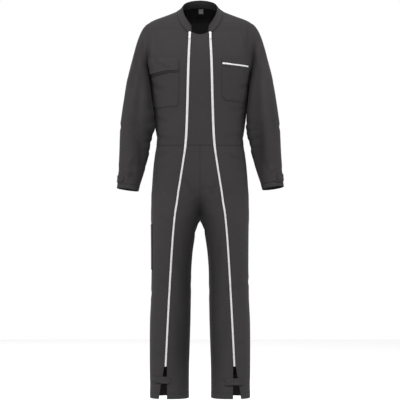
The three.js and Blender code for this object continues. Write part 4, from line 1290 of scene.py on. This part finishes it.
def zip_pieces(node, points, normals, lift, tooth=1.0):
    """A zip's tape and its teeth, over a grid of five columns whose middle is its centre line."""
    tape, _ = shell(f"tape_{node}", points, normals, PLAIN_EDGES, [TAPE] * 2, outer=lift,
                    thick=1.0, roll=0.1)
    dressed(tape, "suit", node)
    middle = points.shape[1] // 2
    chain = mesh_object(f"teeth_{node}",
                        *teeth(points[:, middle], normals[:, middle], lift - 0.1, tooth), [TEETH])
    dressed(flat_shaded(chain), "suit")


for side, word in ((RIGHT, "right"), (LEFT, "left")):
    levels = spaced(ZIP_TOP, ZIP_END, 4)[:, None]
    across = np.linspace(-ZIP_HALF, ZIP_HALF, 5)[None]
    turns = turn_at(levels + 0 * across, zip_line(levels).x + across)
    zip_pieces(f"zip_{word}", *body_at(side, levels + 0 * across, turns), ZIP_LIFT)

across = POCKET_ZIP.inner - spaced(0, POCKET_ZIP.inner - POCKET_ZIP.outer, 4)[:, None]
levels = (POCKET_ZIP.level + POCKET_ZIP.slope * (across - POCKET_ZIP.inner)
          + np.linspace(1, -1, 5)[None] * POCKET_ZIP_HALF)
zip_pieces("pocket_zip", *body_at(LEFT, levels, turn_at(levels, across + 0 * levels)),
           FLAP_LIFT + TRIM * 0.7, POCKET_TEETH)

# Sliders and pull tabs
SLIDER = SimpleNamespace(width=9.8, length=11, thick=2.2)
BAIL = SimpleNamespace(width=2.4, opening=5.6, height=2.5, bar=1)
PULL = SimpleNamespace(width=7, length=27, thick=1.2, eye=6, eye_width=3.4, grip_width=4.6,
                       grips=(-24, -21.8, -19.6, -17.4))
POCKET_SLIDER_WIDTH = 0.7
HINGE_HEIGHT = SLIDER.thick + BAIL.height / 2
SLIDER_CLEARANCE = 0.8
FROM_ZIP_END = 2
ZIP_PROBE = 5


def rounded_loop(width, length, radius, count=40):
    """Points of a rounded rectangle, evenly round it, from its right edge anticlockwise."""
    corners = []
    for x, y, start in ((1, 1, 0), (-1, 1, 1), (-1, -1, 2), (1, -1, 3)):
        angles = (start + np.linspace(0, 1, 9)) * QUARTER
        corners.append(np.stack([x * (width / 2 - radius) + radius * np.cos(angles),
                                 y * (length / 2 - radius) + radius * np.sin(angles)], -1))
    loop = np.concatenate(corners)
    loop = np.vstack([loop, loop[:1]])
    run = length_along(loop)
    return sampled(np.linspace(0, run[-1], count, endpoint=False), run, loop)


def stacked(loops):
    """Faces between loops of points that follow each other, the last joined to the first."""
    count = len(loops[0])
    faces = []
    for row in range(len(loops)):
        after = (row + 1) % len(loops)
        for k in range(count):
            m = (k + 1) % count
            faces.append((row * count + k, row * count + m, after * count + m, after * count + k))
    return np.concatenate(loops), faces


def raised(loop, z):
    return np.column_stack([loop, np.full(len(loop), float(z))])


def plate_with_eye():
    """The pull tab: a rounded plate with an eye at its top and chamfered edges."""
    chamfer = 0.3
    half = PULL.thick / 2
    centre = np.array([0, (PULL.thick - PULL.length) / 2])
    eye_centre = np.array([0, -PULL.eye / 2 - PULL.thick / 2])

    def plate(inset, z):
        return raised(centre + rounded_loop(PULL.width - 2 * inset, PULL.length - 2 * inset, 2), z)

    def eye(inset, z):
        return raised(eye_centre + rounded_loop(PULL.eye_width - 2 * inset,
                                                PULL.eye - 2 * inset, 1), z)

    return stacked([plate(0, half - chamfer), plate(chamfer, half),
                    eye(-chamfer, half), eye(0, half - chamfer),
                    eye(0, chamfer - half), eye(-chamfer, -half),
                    plate(chamfer, -half), plate(0, chamfer - half)])


def capped(loops):
    """A stack of loops closed at both ends."""
    count = len(loops[0])
    points, faces = stacked(loops)
    faces = faces[:-count]
    faces.append(tuple(range(count))[::-1])
    faces.append(tuple((len(loops) - 1) * count + k for k in range(count)))
    return points, faces


def grip_bar(y, width):
    low, high = PULL.thick / 2 - 0.1, PULL.thick / 2 + 0.35
    loops = [raised(rounded_loop(width, 1.1, 0.5, 24) + (0, y), low),
             raised(rounded_loop(width, 1.1, 0.5, 24) + (0, y), high - 0.15),
             raised(rounded_loop(width - 0.3, 0.8, 0.35, 24) + (0, y), high)]
    return capped(loops)


def slider_body():
    rings = ((0.4, 0), (0, 0.4), (0, SLIDER.thick - 0.7), (0.35, SLIDER.thick - 0.2),
             (1.0, SLIDER.thick), (2.4, SLIDER.thick + 0.15))
    return capped([raised(rounded_loop(SLIDER.width - 2 * inset, SLIDER.length - 2 * inset,
                                       2.6 - 0.4 * inset), z) for inset, z in rings])


def bail():
    """The arch that holds the pull tab, bent from a flat bar with rounded edges."""
    half = BAIL.opening / 2 + BAIL.bar / 2
    rise = BAIL.height + BAIL.bar / 2
    line = np.array([(-half, -0.4), (-half, rise - 1.2), (-half + 0.4, rise - 0.4),
                     (-half + 1.2, rise), (half - 1.2, rise), (half - 0.4, rise - 0.4),
                     (half, rise - 1.2), (half, -0.4)])
    tangent = unit(np.gradient(line, axis=0))
    out = np.stack([-tangent[:, 1], tangent[:, 0]], -1)
    section = rounded_loop(BAIL.width, BAIL.bar, 0.3, 16)
    loops = []
    for (y, z), (out_y, out_z) in zip(line, out):
        loops.append(np.stack([section[:, 0], y + out_y * section[:, 1],
                               SLIDER.thick + z + out_z * section[:, 1]], -1))
    return capped(loops)


def merged(*shapes):
    points, faces, base = [], [], 0
    for shape_points, shape_faces in shapes:
        points.append(shape_points)
        faces += [tuple(base + k for k in face) for face in shape_faces]
        base += len(shape_points)
    return np.concatenate(points), faces


def placed(shape, origin, basis):
    points, faces = shape
    return origin + points @ basis, faces


def outward_faces(made):
    mesh = bmesh.new()
    mesh.from_mesh(made.data)
    bmesh.ops.recalc_face_normals(mesh, faces=mesh.faces)
    mesh.to_mesh(made.data)
    mesh.free()
    made.data.set_sharp_from_angle(angle=math.radians(38))
    return made


def slider_and_pull(name, point, normal, up, height, narrow=1.0):
    """A slider and its pull tab on a zip's face, up being the closing direction."""
    across = unit(np.cross(up, normal))
    basis = np.stack([narrow * across, np.cross(normal, across), normal])
    origin = point + normal * height
    body_mesh = placed(merged(slider_body(), bail()), origin, basis)
    made = outward_faces(mesh_object(f"zip_slider_{name}", *body_mesh, [ENAMEL]))
    dressed(made, "suit", f"slider_{name}")
    bars = [grip_bar(y, PULL.grip_width) for y in PULL.grips]
    tab = placed(merged(plate_with_eye(), *bars), origin + HINGE_HEIGHT * normal, basis)
    made = outward_faces(mesh_object(f"zip_pull_{name}", *tab, [ENAMEL]))
    dressed(made, f"tab_{name}", f"pull_{name}")


def plain_body_at(side, level, turn):
    """A point of the body without its creases, where the CAD's sliders are placed."""
    normal = faced(body, side, np.asarray(level, float), np.asarray(turn, float), 1, 0.01)
    return body(side, np.asarray(level, float), np.asarray(turn, float)), normal


for side, word in ((RIGHT, "right"), (LEFT, "left")):
    level = ZIP_TOP - SLIDER.length / 2 - FROM_ZIP_END
    on = [plain_body_at(side, height, turn_at(height, zip_line(height).x))
          for height in (level, level + ZIP_PROBE)]
    slider_and_pull(word, *on[0], on[1][0] - on[0][0], 0.5 + SLIDER_CLEARANCE)

x = POCKET_ZIP.inner + SLIDER.length / 2 + FROM_ZIP_END
on = []
for at in (x, x - ZIP_PROBE):
    level = POCKET_ZIP.level + POCKET_ZIP.slope * (at - POCKET_ZIP.inner)
    on.append(plain_body_at(LEFT, level, turn_at(level, at)))
slider_and_pull("pocket", *on[0], on[1][0] - on[0][0], FLAP_LIFT + TRIM + SLIDER_CLEARANCE,
                POCKET_SLIDER_WIDTH)

# Sewing
STITCH_FACES = np.array([(0, 2, 4), (0, 4, 3), (0, 3, 5), (0, 5, 2),
                         (1, 4, 2), (1, 3, 4), (1, 5, 3), (1, 2, 5)])
for group, rows in stitches.items():
    rings = np.concatenate(rows)
    faces = (STITCH_FACES[None] + 6 * np.arange(len(rings))[:, None, None]).reshape(-1, 3)
    sewing = mesh_object(f"stitches_{group}", rings.reshape(-1, 3), faces.tolist(), [THREAD],
                         shade=np.ones(6 * len(rings)))
    dressed(outward_faces(sewing), "suit")

# Stage, light and camera
FLOOR_LEVEL = -1.75
FLOOR_COLOUR = (0.82, 0.82, 0.82)
floor_material = shader("pale_floor", FLOOR_COLOUR, 0.9)
tinted(floor_material, FLOOR_COLOUR, ranged(floor_material, noise(floor_material, 2), 0.99, 1))
bpy.ops.mesh.primitive_plane_add(size=12, location=(0, 0, FLOOR_LEVEL))
floor = bpy.context.object
floor.name = "floor"
floor.data.materials.append(floor_material.material)

world = bpy.data.worlds.new("studio")
bpy.context.scene.world = world
world.use_nodes = True
background = world.node_tree.nodes["Background"]
background.inputs["Color"].default_value = (1, 1, 1, 1)
background.inputs["Strength"].default_value = 1.0


def softbox(name, location, target, size, energy):
    data = bpy.data.lights.new(name, "AREA")
    data.shape = "DISK"
    data.size = size
    data.energy = energy
    lamp = bpy.data.objects.new(name, data)
    bpy.context.scene.collection.objects.link(lamp)
    lamp.location = location
    lamp.rotation_euler = (Vector(target) - Vector(location)).to_track_quat("-Z", "Y").to_euler()


softbox("top", (-0.2, -1.8, 3.4), (0, 0, -0.2), 1.2, 105)
softbox("left", (-4.2, -2.4, 0.3), (0, 0, -0.8), 1.2, 60)
softbox("right", (4.5, -1.8, 0.3), (0, 0, -0.8), 1.2, 50)
softbox("back", (-2.2, 4.4, 1.6), (0, 0, -0.7), 1.6, 70)

# The photograph is 400 pixels square, at 4.1 mm to a pixel in the plane of the shoulders
PIXEL_MM = 4.1
PHOTO_PIXELS = 400
CAMERA_DISTANCE = 8.4
CAMERA_LEVEL = -0.76875
SENSOR = 36
camera_data = bpy.data.cameras.new("camera")
camera_data.sensor_width = SENSOR
camera_data.lens = SENSOR * CAMERA_DISTANCE / (PIXEL_MM * PHOTO_PIXELS * MM)
camera = bpy.data.objects.new("camera", camera_data)
bpy.context.scene.collection.objects.link(camera)
camera.location = (0, -CAMERA_DISTANCE, CAMERA_LEVEL)
camera.rotation_euler = (QUARTER, 0, 0)
bpy.context.scene.camera = camera

bpy.context.scene.view_settings.view_transform = "Standard"

bpy.context.view_layer.update()
